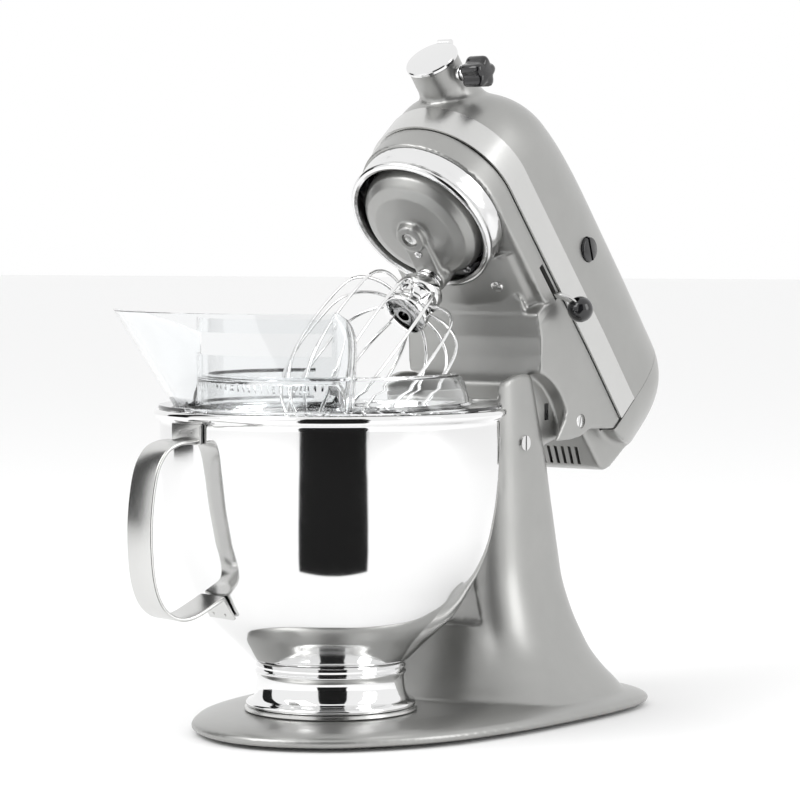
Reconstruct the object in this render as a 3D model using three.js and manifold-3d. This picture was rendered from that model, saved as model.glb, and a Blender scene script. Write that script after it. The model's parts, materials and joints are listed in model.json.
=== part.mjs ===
// Tilt-head stand mixer with a steel bowl, a clear pouring shield and a wire whisk.
// Millimetres, +Z up, the front of the mixer faces -Y and +X is its right side seen from behind the bowl.
// The bowl's axis is x = 0, y = 0 while the parts are made.
// The finished group is centred on its own footprint.
import * as THREE from "three";
import { mergeVertices } from "three/addons/utils/BufferGeometryUtils.js";
import Module from "manifold-3d";

const wasm = await Module();
wasm.setup();

// ---------------------------------------------------------------- driving sizes
const GAP = 0.3; // clearance between two fitted pieces
const STEEL = 1.6; // pressed steel wall
const CAST = 4; // cast metal wall
const CLEAR_WALL = 2; // clear moulding wall

// base and pedestal
const BASE_HALF_W = 111.5;
const BASE_FRONT = 91;
const BASE_REAR = 249;
const BASE_LIFT = 2.5; // casting's lower edge above the table
const BASE_TOP = 14.3;
const FOOT_R = 11;
const FOOT_H = 5;
const COLUMN_HALF_W = 51;
const COLUMN_FRONT_Y = 107.5;
const CHEEK_T = 6.2;
const CHEEK_R = 45.2; // rounded top of the cheeks about the hinge pin
const WEB_TOP = 208;
const WEB_INNER_Y = 119;
const CLAMP_R = 54.6;
const CLAMP_T = 2.6;

// hinge and head
const PIN_Y = 140.5;
const PIN_Z = 177.6;
const PIN_R = 5;
const TILT_DEG = 50.7; // head raised, as it stands at rest
const NECK_R = 20.5;
const NECK_HALF_W = COLUMN_HALF_W - CHEEK_T - 0.8;
const HEAD_HALF_W = 57;
const HEAD_TOP = 181;
const HEAD_REAR = 109; // behind the pin
const REAR_SEAM = 58; // behind the pin
const HEAD_WAIST = 114; // above the pin, where the head is widest
const CASE_BOTTOM = 62; // above the pin
const TRIM_LOW = 87.5;
const TRIM_H = 21;
const TRIM_PROUD = 0.9;
const TRIM_T = 2.2;
const PLANET_A = 139.7; // planetary axis in front of the pin
const NOSE_R = 53.8;
const RING_R = 50;
const RING_BOTTOM = 53;
const SKIRT_BOTTOM = 70.6;
const HUB_U = 132; // attachment hub axis above the pin
const HUB_R = 17;
const HUB_FRONT = 213.5;
const HUB_BORE = 11.5;

// head fittings, as distances in front of the pin (A) and heights above it (U)
const BRUSH_A = 56;
const BRUSH_U = 132;
const BRUSH_R = 8.3;
const KNOB_A = 204;
const KNOB_U = HUB_U;
const KNOB_R = 9.4;
const PLUG_A = 81;
const PLUG_X = 30;
const PLUG_R = 4;
const PLUG_FACE_U = CASE_BOTTOM + 0.9;
const SCREW_A = -28;
const SCREW_U = 53;
const SCREW_R = 4.5;
const LEVER_U = 83;
const LEVER_T = 3;
const BALL_X = 70;
const BALL_R = 8.6;
const BALL_BACK = 12;
const LOCK_A = 57;
const LOCK_TRAVEL = 22;
const SPEED_A = 40;
const SPEED_TRAVEL = 55;
const VENT_COUNT = 12;
const VENT_PITCH = 5.4;
const CORD_X = 24;
const CORD_R = 6;

// drive
const MOTOR_U = 128;
const MOTOR_R = 38;
const MOTOR_Y = -14;
const ARMATURE_R = 22.5;
const FAN_Y = 46;
const SPINDLE_R = 4;
const WORM_R = 6.4;
const WORM_A = 100;
const WORM_WHEEL_R = 14.4;
const CENTRE_R = 7;
const BAY_R = 38.5;
const BAY_FLOOR = 97.6;
const CARRIER_LOW = 45;
const RING_GEAR_U = 78;
const RING_GEAR_R = RING_R - 1.4;
const RING_GEAR_IN = RING_GEAR_R - 3.6;
const ORBIT = 34; // beater shaft offset from the planetary axis
const BEATER_R = 6.5;
const WHISK_R = 46;
const WHISK_TOP_U = 12.5; // where the wires leave the hub
const WHISK_BOTTOM_U = -117;
const WHISK_LOOPS = 6;
const WIRE_R = 1.1;

// bowl and shield
const RIM_Z = 205;
const RIM_R = 111;
const BOWL_FLOOR_Z = 47;
const BOWL_FOOT_R = 53.5;
const HANDLE_DIR = THREE.MathUtils.degToRad(-105.1);
const HANDLE_OUT_R = 142;
const HANDLE_W = 26;
const HANDLE_T = 2.4;
const SHIELD_OUT_R = 108;
const SHIELD_OPEN_R = 76.6;
const SHIELD_TOP = 227;
const CHUTE_FROM = -147; // degrees about the bowl's axis
const CHUTE_TO = -50;
const CHUTE_TOP = 267;
const CHUTE_IN_R = 82;

const TURN = Math.PI * 2;
const rad = THREE.MathUtils.degToRad;

// ---------------------------------------------------------------- finishes
const FINISH = {
  paint: { color: 0xa9aaa6, roughness: 0.42, metalness: 0.55 },
  steel: { color: 0xd6d7d8, roughness: 0.12, metalness: 1 },
  brushed: { color: 0xc2c3c4, roughness: 0.35, metalness: 1 },
  chrome: { color: 0xe6e7e8, roughness: 0.06, metalness: 1 },
  black: { color: 0x0b0b0c, roughness: 0.25, metalness: 0 },
  rubber: { color: 0x2b2b2c, roughness: 0.8, metalness: 0 },
  clear: { color: 0xf2f4f5, roughness: 0.05, metalness: 0 },
  copper: { color: 0xb06a3c, roughness: 0.4, metalness: 1 },
  iron: { color: 0x5d5f61, roughness: 0.5, metalness: 0.9 },
  bronze: { color: 0xa98a4b, roughness: 0.4, metalness: 1 },
};

// ---------------------------------------------------------------- solids
function solid(geometry) {
  const bare = geometry.clone();
  bare.deleteAttribute("normal");
  bare.deleteAttribute("uv");
  const merged = mergeVertices(bare, 1e-4);
  return new wasm.Manifold(
    new wasm.Mesh({
      numProp: 3,
      vertProperties: merged.attributes.position.array,
      triVerts: new Uint32Array(merged.index.array),
    }),
  );
}

function geometryOf(shape) {
  const mesh = shape.getMesh();
  const points = new Float32Array(mesh.numVert * 3);
  for (let i = 0; i < mesh.numVert; i++) {
    points.set(mesh.vertProperties.subarray(i * mesh.numProp, i * mesh.numProp + 3), i * 3);
  }
  const geometry = new THREE.BufferGeometry();
  geometry.setAttribute("position", new THREE.BufferAttribute(points, 3));
  geometry.setIndex(new THREE.BufferAttribute(mesh.triVerts, 1));
  geometry.computeVertexNormals();
  return geometry;
}

const join = (first, ...rest) => rest.reduce((sum, piece) => sum.add(piece), first);
const cut = (first, ...rest) => rest.reduce((left, piece) => left.subtract(piece), first);
const keep = (first, second) => first.intersect(second);

const AXES = {
  x: new THREE.Matrix4().makeRotationZ(-Math.PI / 2),
  y: new THREE.Matrix4(),
  z: new THREE.Matrix4().makeRotationX(Math.PI / 2),
};

// A box given by its corners.
function block(x0, x1, y0, y1, z0, z1) {
  const box = new THREE.BoxGeometry(x1 - x0, y1 - y0, z1 - z0);
  return solid(box.translate((x0 + x1) / 2, (y0 + y1) / 2, (z0 + z1) / 2));
}

// A round bar along an axis, centred on a point.
function rod(radius, length, axis, [x, y, z], sides = 28, endRadius = radius) {
  const bar = new THREE.CylinderGeometry(endRadius, radius, length, sides);
  return solid(bar.applyMatrix4(AXES[axis]).translate(x, y, z));
}

// A solid turned about Z from [radius, height] pairs that run upwards on the outside.
function turned(profile, sides = 32) {
  const points = profile.map(([r, z]) => new THREE.Vector2(r, z));
  const lathe = new THREE.LatheGeometry(points, sides);
  return solid(lathe.applyMatrix4(AXES.z));
}

// A flat outline of [a, b] pairs pushed along an axis: x takes (y, z) pairs, z takes (x, y) pairs.
function pushed(outline, from, to, axis, holes = []) {
  const shape = new THREE.Shape(outline.map(([a, b]) => new THREE.Vector2(a, b)));
  shape.holes = holes.map((h) => new THREE.Path(h.map(([a, b]) => new THREE.Vector2(a, b))));
  const slab = new THREE.ExtrudeGeometry(shape, { depth: to - from, bevelEnabled: false, steps: 1 });
  slab.translate(0, 0, from);
  if (axis === "x") {
    const turn = new THREE.Matrix4().set(0, 0, 1, 0, 1, 0, 0, 0, 0, 1, 0, 0, 0, 0, 0, 1);
    slab.applyMatrix4(turn);
  }
  return solid(slab);
}

// Closed rings of equal point count skinned into one solid, with a fan over each end.
function loft(rings) {
  const count = rings[0].length;
  const points = rings.flat(2);
  const faces = [];
  for (let ring = 0; ring + 1 < rings.length; ring++) {
    for (let i = 0; i < count; i++) {
      const a = ring * count + i;
      const b = ring * count + ((i + 1) % count);
      faces.push(a, b, b + count, a, b + count, a + count);
    }
  }
  [0, rings.length - 1].forEach((ring) => {
    const centre = points.length / 3;
    const mean = [0, 1, 2].map((k) => rings[ring].reduce((sum, p) => sum + p[k], 0) / count);
    points.push(...mean);
    for (let i = 0; i < count; i++) {
      const a = ring * count + i;
      const b = ring * count + ((i + 1) % count);
      faces.push(...(ring === 0 ? [centre, b, a] : [centre, a, b]));
    }
  });
  const geometry = new THREE.BufferGeometry();
  geometry.setAttribute("position", new THREE.Float32BufferAttribute(points, 3));
  geometry.setIndex(faces);
  const made = solid(geometry);
  if (made.volume() > 0) return made;
  const turnedOver = geometry.index.array.slice().reverse();
  geometry.setIndex(new THREE.BufferAttribute(turnedOver, 1));
  return solid(geometry);
}

// A wire or strap section swept along points.
function swept(points, outline, steps, closed = false) {
  const path = new THREE.CatmullRomCurve3(points, closed, "centripetal");
  const shape = new THREE.Shape(outline.map(([a, b]) => new THREE.Vector2(a, b)));
  return solid(new THREE.ExtrudeGeometry(shape, { steps, extrudePath: path, bevelEnabled: false }));
}

const circle = (radius, sides, cx = 0, cy = 0) =>
  Array.from({ length: sides }, (_, i) => {
    const angle = (i / sides) * TURN;
    return [cx + radius * Math.cos(angle), cy + radius * Math.sin(angle)];
  });

// The value at x of a piecewise-linear table of [x, value] pairs.
function along(table, x) {
  const last = table.length - 1;
  if (x <= table[0][0]) return table[0][1];
  if (x >= table[last][0]) return table[last][1];
  const i = table.findIndex(([key]) => key >= x);
  const [x0, v0] = table[i - 1];
  const [x1, v1] = table[i];
  return v0 + ((x - x0) / (x1 - x0)) * (v1 - v0);
}

// ---------------------------------------------------------------- groups
const group = new THREE.Group();
group.name = "stand_mixer";
const head = new THREE.Group();
head.name = "tilting_head";
head.position.set(0, PIN_Y, PIN_Z);
head.rotation.x = -rad(TILT_DEG);
group.add(head);

function add(parent, name, shape, finish) {
  const mesh = new THREE.Mesh(geometryOf(shape), new THREE.MeshStandardMaterial(FINISH[finish]));
  mesh.name = name;
  parent.add(mesh);
}

// ---------------------------------------------------------------- base and pedestal
// Half outline of the base from its front to its rear, mirrored into a closed ring.
function baseOutline(inset, z, rows = 30) {
  const half = [
    [0, -BASE_FRONT],
    [0.27 * BASE_HALF_W, -0.93 * BASE_FRONT],
    [0.545 * BASE_HALF_W, -0.71 * BASE_FRONT],
    [0.765 * BASE_HALF_W, -0.34 * BASE_FRONT],
    [0.885 * BASE_HALF_W, 0],
    [0.95 * BASE_HALF_W, 0.14 * BASE_REAR],
    [0.99 * BASE_HALF_W, 0.3 * BASE_REAR],
    [BASE_HALF_W, 0.48 * BASE_REAR],
    [0.992 * BASE_HALF_W, 0.64 * BASE_REAR],
    [0.95 * BASE_HALF_W, 0.785 * BASE_REAR],
    [0.85 * BASE_HALF_W, 0.893 * BASE_REAR],
    [0.63 * BASE_HALF_W, 0.964 * BASE_REAR],
    [0.31 * BASE_HALF_W, 0.993 * BASE_REAR],
    [0, BASE_REAR],
  ];
  const ring = half.concat(half.slice(1, -1).reverse().map(([x, y]) => [-x, y]));
  const curve = new THREE.CatmullRomCurve3(
    ring.map(([x, y]) => new THREE.Vector3(x, y, 0)),
    true,
    "centripetal",
  );
  const middle = (BASE_REAR - BASE_FRONT) / 2;
  const fx = 1 - inset / BASE_HALF_W;
  const fy = 1 - inset / ((BASE_REAR + BASE_FRONT) / 2);
  return curve.getSpacedPoints(rows).slice(0, rows).map((p) => [p.x * fx, middle + (p.y - middle) * fy, z]);
}

const COLUMN_ROWS = [
  // height, half width, front y, rear y
  [BASE_LIFT + 1, 106, 10, 240],
  [8, 101, 40, 236],
  [13, 97, 63, 231],
  [19, 93, 68, 228],
  [27, 84, 77, 221],
  [38, 75, 88, 215],
  [50, 68, 96, 211],
  [64, 61.5, 101, 207],
  [84, 55.5, 104.5, 202.5],
  [104, 53.2, 106.5, 199],
  [135, 51.8, COLUMN_FRONT_Y, 192],
  [165, COLUMN_HALF_W, COLUMN_FRONT_Y, 185],
  [195, COLUMN_HALF_W, COLUMN_FRONT_Y, 174],
  [PIN_Z + CHEEK_R + 3, COLUMN_HALF_W, COLUMN_FRONT_Y, 163],
];

// Rounded-rectangle ring of the pedestal column at one height.
function columnRing([z, halfWidth, front, rear], inset, sides = 24) {
  const power = 2 / 3;
  const half = (rear - front) / 2 - inset;
  const middle = (rear + front) / 2;
  return Array.from({ length: sides }, (_, i) => {
    const angle = (i / sides) * TURN;
    const c = Math.cos(angle);
    const s = Math.sin(angle);
    return [
      Math.sign(c) * Math.abs(c) ** power * (halfWidth - inset),
      middle + Math.sign(s) * Math.abs(s) ** power * half,
      z,
    ];
  });
}

function baseCasting() {
  const slab = loft([
    baseOutline(2, BASE_LIFT),
    baseOutline(0, 5),
    baseOutline(1, 7.5),
    baseOutline(7, 10.5),
    baseOutline(18, 13),
    baseOutline(32, BASE_TOP),
  ]);
  const column = loft(COLUMN_ROWS.map((row) => columnRing(row, 0)));
  const bottomHollow = loft([
    baseOutline(7, 0, 24),
    baseOutline(9, 6, 24),
    baseOutline(30, BASE_TOP - CAST, 24),
  ]);
  const inner = COLUMN_ROWS.filter((_, i) => i % 2 === 0).map((row) => columnRing(row, CAST + 1, 16));
  inner[0] = columnRing([0, ...COLUMN_ROWS[0].slice(1)], CAST + 4, 16);
  const hollow = loft(inner);
  // The cheeks: the column's top rounded about the pin.
  const crown = pushed(
    [
      [COLUMN_FRONT_Y - 2, PIN_Z],
      ...Array.from({ length: 17 }, (_, i) => {
        const angle = Math.PI - (i / 16) * Math.PI;
        return [PIN_Y + CHEEK_R * Math.cos(angle), PIN_Z + CHEEK_R * Math.sin(angle)];
      }).filter(([y]) => y > COLUMN_FRONT_Y - 2),
      [PIN_Y + CHEEK_R, PIN_Z - 1],
      [BASE_REAR + 20, PIN_Z - 1],
      [BASE_REAR + 20, -5],
      [-BASE_FRONT - 20, -5],
      [-BASE_FRONT - 20, PIN_Z],
    ],
    -BASE_HALF_W - 10,
    BASE_HALF_W + 10,
    "x",
  );
  const slotHalf = COLUMN_HALF_W - CHEEK_T;
  const headSlot = pushed(
    [
      [WEB_INNER_Y, 150],
      [WEB_INNER_Y, WEB_TOP],
      [COLUMN_FRONT_Y - 5, WEB_TOP],
      [COLUMN_FRONT_Y - 5, 260],
      [BASE_REAR, 260],
      [BASE_REAR, 133],
      [176, 133],
      [165, 128],
      [130, 128],
    ],
    -slotHalf,
    slotHalf,
    "x",
  );
  const bowlRelief = rod(RIM_R + 2.6, 240, "z", [0, 0, 150], 48);
  let casting = join(slab, keep(column, crown));
  const innerFloor = block(-BASE_HALF_W, BASE_HALF_W, -BASE_FRONT, BASE_REAR, -1, 126);
  casting = cut(casting, bottomHollow, keep(hollow, innerFloor), headSlot);
  const reliefBand = keep(bowlRelief, block(-60, 60, 80, 125, 60, 235));
  const bossHeight = BASE_TOP - 5.6;
  const bosses = footPlaces().map(([x, y]) => {
    return rod(FOOT_R - 1, bossHeight, "z", [x, y, (BASE_TOP + 4) / 2], 20);
  });
  casting = join(cut(casting, reliefBand), ...bosses.map((boss) => keep(boss, slabFill())));
  const pinHole = rod(PIN_R + GAP, 2 * COLUMN_HALF_W + 20, "x", [0, PIN_Y, PIN_Z], 24);
  const sink = FOOT_H + 0.6 + GAP;
  const footHoles = footPlaces().map(([x, y]) => rod(FOOT_R + GAP, sink, "z", [x, y, sink / 2 - 0.01], 24));
  return cut(casting, pinHole, ...footHoles);
}

function slabFill() {
  return loft([baseOutline(3, BASE_LIFT, 24), baseOutline(3, 6, 24), baseOutline(31, BASE_TOP - 0.5, 24)]);
}

function footPlaces() {
  return [
    [0, -0.66 * BASE_FRONT],
    [0.66 * BASE_HALF_W, 0.12 * BASE_REAR],
    [-0.66 * BASE_HALF_W, 0.12 * BASE_REAR],
    [0.7 * BASE_HALF_W, 0.78 * BASE_REAR],
    [-0.7 * BASE_HALF_W, 0.78 * BASE_REAR],
  ];
}

function addBase() {
  add(group, "base_casting", baseCasting(), "paint");
  footPlaces().forEach(([x, y], i) => {
    add(group, `foot_${i + 1}`, rod(FOOT_R - 1.2, FOOT_H, "z", [x, y, FOOT_H / 2], 24, FOOT_R), "rubber");
  });
  const low = BASE_TOP + GAP;
  const clamp = turned([
    [0, low],
    [CLAMP_R, low],
    [CLAMP_R, low + CLAMP_T - 0.8],
    [CLAMP_R - 1, low + CLAMP_T],
    [0, low + CLAMP_T],
  ], 40);
  add(group, "bowl_clamp_plate", clamp, "steel");
  const pinLength = 2 * COLUMN_HALF_W + 1.2;
  const slot = block(COLUMN_HALF_W - 0.8, COLUMN_HALF_W + 3, PIN_Y - 0.7, PIN_Y + 0.7, PIN_Z - 6, PIN_Z + 6);
  const pin = cut(rod(PIN_R, pinLength, "x", [0.2, PIN_Y, PIN_Z], 24), slot);
  add(group, "hinge_pin", pin, "chrome");
}

// ---------------------------------------------------------------- bowl
const BOWL_WALL = [
  // outer radius, height
  [49.5, BOWL_FLOOR_Z],
  [60, 57.5],
  [77, 73.5],
  [88, 91],
  [97, 110],
  [102, 127.6],
  [104.8, 145],
  [106.5, 165],
  [107, 180],
  [107.2, 199],
];

function addBowl() {
  const outside = BOWL_WALL.map(([r, z]) => [r, z]);
  const inside = BOWL_WALL.map(([r, z], i) => [r - STEEL, i === 0 ? z + STEEL : z + 0.4]).reverse();
  const bowl = turned([
    [0, BOWL_FLOOR_Z],
    ...outside,
    [109, 199.6],
    [110.6, 200.8],
    [RIM_R, 202.6],
    [110.2, 204.4],
    [108.4, RIM_Z],
    [106.4, 204],
    ...inside,
    [0, BOWL_FLOOR_Z + STEEL],
  ], 36);
  add(group, "bowl_shell", bowl, "steel");
  const low = BASE_TOP + CLAMP_T + 2 * GAP;
  const top = BOWL_FLOOR_Z - GAP;
  const foot = turned([
    [0, low + 3],
    [44, low + 3],
    [47, low],
    [BOWL_FOOT_R, low],
    [BOWL_FOOT_R, low + 3.4],
    [48.5, low + 5],
    [46.6, low + 12],
    [46.2, low + 20],
    [47.8, low + 23],
    [46.4, top - 4],
    [48, top],
    [0, top],
  ], 28);
  add(group, "bowl_foot", foot, "steel");
  add(group, "bowl_handle", bowlHandle(), "brushed");
}

function bowlHandle() {
  const out = new THREE.Vector3(Math.cos(HANDLE_DIR), Math.sin(HANDLE_DIR), 0);
  const at = (r, z) => out.clone().multiplyScalar(r).setZ(z);
  const wall = BOWL_WALL[BOWL_WALL.length - 1][0] + 2.6;
  const loop = [
    at(wall, 187),
    at(wall + 5, 187.4),
    at(HANDLE_OUT_R - 21, 187),
    at(HANDLE_OUT_R - 13, 183.5),
    at(HANDLE_OUT_R - 4.5, 170.5),
    at(HANDLE_OUT_R - 2, 158.5),
    at(HANDLE_OUT_R, 144),
    at(HANDLE_OUT_R, 122.5),
    at(HANDLE_OUT_R - 1.5, 106.5),
    at(HANDLE_OUT_R - 4.5, 95.5),
    at(HANDLE_OUT_R - 9.5, 87),
    at(HANDLE_OUT_R - 17, 81.6),
    at(HANDLE_OUT_R - 25, 80.4),
    at(HANDLE_OUT_R - 33, 82),
    at(HANDLE_OUT_R - 43, 86.5),
    at(HANDLE_OUT_R - 53, 91.5),
  ];
  const strap = [
    [-HANDLE_W / 2, -HANDLE_T / 2],
    [HANDLE_W / 2, -HANDLE_T / 2],
    [HANDLE_W / 2, HANDLE_T / 2],
    [-HANDLE_W / 2, HANDLE_T / 2],
  ].map(([a, b]) => [b, a]);
  const band = swept(loop, strap, 40);
  const plateWidth = HANDLE_W + 5;
  const plate = new THREE.BoxGeometry(2, plateWidth, 14).translate(wall - 0.3, 0, 191.5).rotateZ(HANDLE_DIR);
  const lowPlate = new THREE.BoxGeometry(2.4, HANDLE_W, 16).rotateY(0.54).translate(86.1, 0, 84.8);
  return cut(join(band, solid(plate), solid(lowPlate.rotateZ(HANDLE_DIR))), bowlEnvelope());
}

// Everything inside the bowl's outer skin plus a hair, for fitting pieces against the bowl.
function bowlEnvelope() {
  return turned([
    [0, BOWL_FLOOR_Z - GAP],
    ...BOWL_WALL.map(([r, z]) => [r + GAP, z]),
    [107.5, 199.2],
    [0, 199.2],
  ], 36);
}

// ---------------------------------------------------------------- pouring shield
const sector = (r, degrees, z) => [r * Math.cos(rad(degrees)), r * Math.sin(rad(degrees)), z];

// A thin wall between an inner and an outer curve: each row is [degrees, bottom radius, top radius, top z].
function chuteWall(rows, thickness, bottomZ) {
  return loft(
    rows.map(([deg, low, high, top]) => [
      sector(low, deg, bottomZ),
      sector(high, deg, top),
      sector(high - thickness, deg, top),
      sector(low - thickness, deg, bottomZ),
    ]),
  );
}

function pouringShield() {
  const low = RIM_Z + GAP;
  const wall = CLEAR_WALL;
  const dome = turned([
    [SHIELD_OPEN_R, SHIELD_TOP - wall],
    [SHIELD_OPEN_R + 4, SHIELD_TOP - wall - 1],
    [82, SHIELD_TOP - wall - 5],
    [85, low + 5],
    [86, low + 0.2],
    [86.5, low],
    [SHIELD_OUT_R, low],
    [SHIELD_OUT_R, low + wall],
    [88.5, low + wall],
    [87, low + 7],
    [83.5, SHIELD_TOP - 4.5],
    [SHIELD_OPEN_R + 4.5, SHIELD_TOP - 0.6],
    [SHIELD_OPEN_R, SHIELD_TOP],
    [SHIELD_OPEN_R, SHIELD_TOP - wall],
  ], 36);
  const rearGap = block(-SHIELD_OPEN_R, SHIELD_OPEN_R, 0, SHIELD_OUT_R + 10, RIM_Z - 20, SHIELD_TOP + 10);
  const ring = cut(dome, rearGap);
  const steps = 8;
  const span = CHUTE_TO - CHUTE_FROM;
  const at = (i) => CHUTE_FROM + (i / steps) * span;
  const flare = [
    [0, 133],
    [0.5, 129],
    [0.75, 119],
    [1, 108],
  ];
  const footLine = [
    [0, 96.5],
    [0.4, 101],
    [1, 103],
  ];
  const outer = chuteWall(
    Array.from({ length: steps + 1 }, (_, i) => [
      at(i),
      along(footLine, i / steps),
      along(flare, i / steps),
      CHUTE_TOP,
    ]),
    wall,
    low + 0.2,
  );
  const opening = loft(
    Array.from({ length: steps + 1 }, (_, i) => {
      const edge = 2 * (0.5 - i / steps);
      const deg = at(i) + edge * 1.6;
      return [
        sector(CHUTE_IN_R + wall, deg, low - 4),
        sector(along(footLine, i / steps) - wall, deg, low - 4),
        sector(along(footLine, i / steps) - wall, deg, SHIELD_TOP + 8),
        sector(CHUTE_IN_R + wall, deg, SHIELD_TOP + 8),
      ];
    }),
  );
  const side = (deg, foot, top, inner) => {
    const plate = pushed(
      [
        [inner, low + 0.4],
        [foot, low + 0.4],
        [top - 1, CHUTE_TOP],
        [Math.min(top - 8, 116), CHUTE_TOP],
        [inner, 252],
      ],
      -wall / 2,
      wall / 2,
      "x",
    );
    const turn = new THREE.Matrix4().makeRotationZ(rad(deg - 90));
    return plate.transform(turn.elements);
  };
  const sideOne = side(CHUTE_FROM + 0.6, 95.6, 132, CHUTE_IN_R);
  const sideTwo = side(CHUTE_TO - 0.6, 102, 107.4, CHUTE_IN_R);
  const innerWall = chuteWall(
    Array.from({ length: steps + 1 }, (_, i) => [at(i), CHUTE_IN_R + wall, CHUTE_IN_R + wall, 239.5]),
    wall,
    low + 3,
  );
  const bridge = keep(
    chuteWall(
      Array.from({ length: steps + 1 }, (_, i) => [at(i), CHUTE_IN_R + wall, CHUTE_IN_R + wall, 262]),
      wall,
      252,
    ),
    block(-200, 200, -200, 200, 252, 262),
  );
  return cut(join(ring, outer, sideOne, sideTwo, innerWall, bridge), cut(opening, sideOne, sideTwo));
}

function addShield() {
  add(group, "pouring_shield", pouringShield(), "clear");
}

// ---------------------------------------------------------------- head shells
// The head is drawn closed: x as is, y = minus the distance in front of the pin, z = height above the pin.
const noseReach = PLANET_A + NOSE_R;

// Half width of the head's plan at a distance in front of the pin.
function planWidth(a) {
  if (a > PLANET_A) return Math.sqrt(Math.max(0, NOSE_R ** 2 - (a - PLANET_A) ** 2));
  if (a >= -REAR_SEAM) return HEAD_HALF_W + (NOSE_R - HEAD_HALF_W) * Math.max(0, a / PLANET_A);
  const t = Math.min(1, (-REAR_SEAM - a) / (HEAD_REAR - REAR_SEAM));
  return HEAD_HALF_W * (1 - t ** 2.1) ** (1 / 2.1);
}

// Plan outline as a closed ring of [x, y], widened by an offset, from a rear limit to the nose.
function planRing(offset, rearLimit) {
  const half = [];
  const straight = 8;
  for (let i = 0; i <= straight; i++) {
    const a = rearLimit + ((PLANET_A - rearLimit) * i) / straight;
    half.push([planWidth(a) + offset, -a]);
  }
  const arc = 14;
  for (let i = 1; i <= arc; i++) {
    const angle = (i / arc) * (Math.PI / 2);
    half.push([(NOSE_R + offset) * Math.cos(angle), -PLANET_A - (NOSE_R + offset) * Math.sin(angle)]);
  }
  return half.concat(half.slice(0, -1).reverse().map(([x, y]) => [-x, y]));
}

const TOP_LINE = [
  // distance in front of the pin, height of the head's top
  [-109, 141],
  [-107, 152],
  [-102, 162],
  [-92, 171.5],
  [-78, 178.5],
  [-60, HEAD_TOP],
  [70, HEAD_TOP],
  [100, 180.4],
  [122, 178],
  [145, 171.5],
  [163, 162.5],
  [176, 151],
  [186, 137],
  [noseReach, TRIM_LOW + TRIM_H + 1],
];

// Half section of the upper head at one station, as a ring in the x-z plane.
function upperRing(a, shrink, floor, sides = 22) {
  const width = Math.max(planWidth(a) - shrink, 0.6);
  const height = Math.max(along(TOP_LINE, a) - shrink - HEAD_WAIST, 0.4);
  const power = 2 / 2.7;
  const ring = [];
  for (let i = 0; i <= sides; i++) {
    const angle = (i / sides) * Math.PI;
    const c = Math.cos(angle);
    const s = Math.sin(angle);
    ring.push([Math.sign(c) * Math.abs(c) ** power * width, -a, HEAD_WAIST + s ** power * height]);
  }
  ring.push([-width, -a, floor]);
  ring.push([width, -a, floor]);
  return ring;
}

const stations = (from, to, count) =>
  Array.from({ length: count + 1 }, (_, i) => from + ((to - from) * i) / count);

function upperHousing() {
  const floor = TRIM_LOW + TRIM_H + GAP;
  const list = [...stations(-REAR_SEAM, 100, 3), ...stations(112, noseReach - 0.5, 10)];
  const outer = loft(list.map((a) => upperRing(a, 0, floor)));
  const hub = rod(HUB_R, HUB_FRONT - 150, "y", [0, -(HUB_FRONT + 150) / 2, HUB_U], 24);
  const collar = rod(HUB_R + 7, 22, "y", [0, -(noseReach - 18), HUB_U], 24, HUB_R);
  const inner = loft(stations(-REAR_SEAM - 1, 172, 8).map((a) => upperRing(a, CAST, floor - 2, 14)));
  const bore = rod(HUB_BORE, 80, "y", [0, -(HUB_FRONT - 28), HUB_U], 20);
  const caps = [1, -1].map((side) => {
    return rod(BRUSH_R + GAP, 20, "x", [side * HEAD_HALF_W, -BRUSH_A, BRUSH_U], 24);
  });
  const knobHole = rod(SPINDLE_R + GAP, 30, "x", [18, -KNOB_A, KNOB_U], 16);
  const seam = block(-80, 80, REAR_SEAM - 0.01, 200, 0, 260);
  const front = block(-40, 40, -250, -150, floor, 170);
  return cut(join(outer, hub, keep(collar, front)), inner, bore, ...caps, knobHole, seam);
}


function rearCover() {
  const list = [...stations(-REAR_SEAM - GAP, -92, 3), ...stations(-98, -HEAD_REAR + 0.3, 5)];
  const waistLow = 78;
  const rings = (shrink, from) =>
    list.map((a, i) => {
      const at = i === 0 ? from : a;
      const t = Math.min(1, Math.max(0, (-REAR_SEAM - at) / (HEAD_REAR - REAR_SEAM)));
      const floor = Math.min(waistLow + 46 * t ** 1.7 + shrink, HEAD_WAIST - 1);
      return upperRing(at, shrink, floor);
    });
  const shell = loft(rings(0, list[0]));
  const hollow = loft(rings(CAST, list[0] + 1).slice(0, 6));
  const box = pushed(
    [
      [REAR_SEAM - 14, 60],
      [80, 61],
      [86, 71],
      [90, 100],
      [90, 128],
      [REAR_SEAM + GAP, 128],
      [REAR_SEAM + GAP, 76.5],
    ],
    -45,
    45,
    "x",
  );
  const boxHollow = block(-41.2, 41.2, REAR_SEAM - 9, 80.8, 65, 78.7);
  const boxOpen = block(-40.6, 40.6, REAR_SEAM - 2, 82.6, 70.4, 129.3);
  const vents = Array.from({ length: VENT_COUNT }, (_, i) => {
    const x = (i - (VENT_COUNT - 1) / 2) * VENT_PITCH;
    const slot = new THREE.BoxGeometry(2.2, 14.4, 11.6).rotateZ(0.25).translate(x, 67.5, 62);
    return solid(slot);
  });
  const cord = rod(CORD_R + GAP, 30, "y", [CORD_X, 88, 84], 24);
  return cut(join(shell, box), hollow, boxHollow, boxOpen, ...vents, cord);
}

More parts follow.
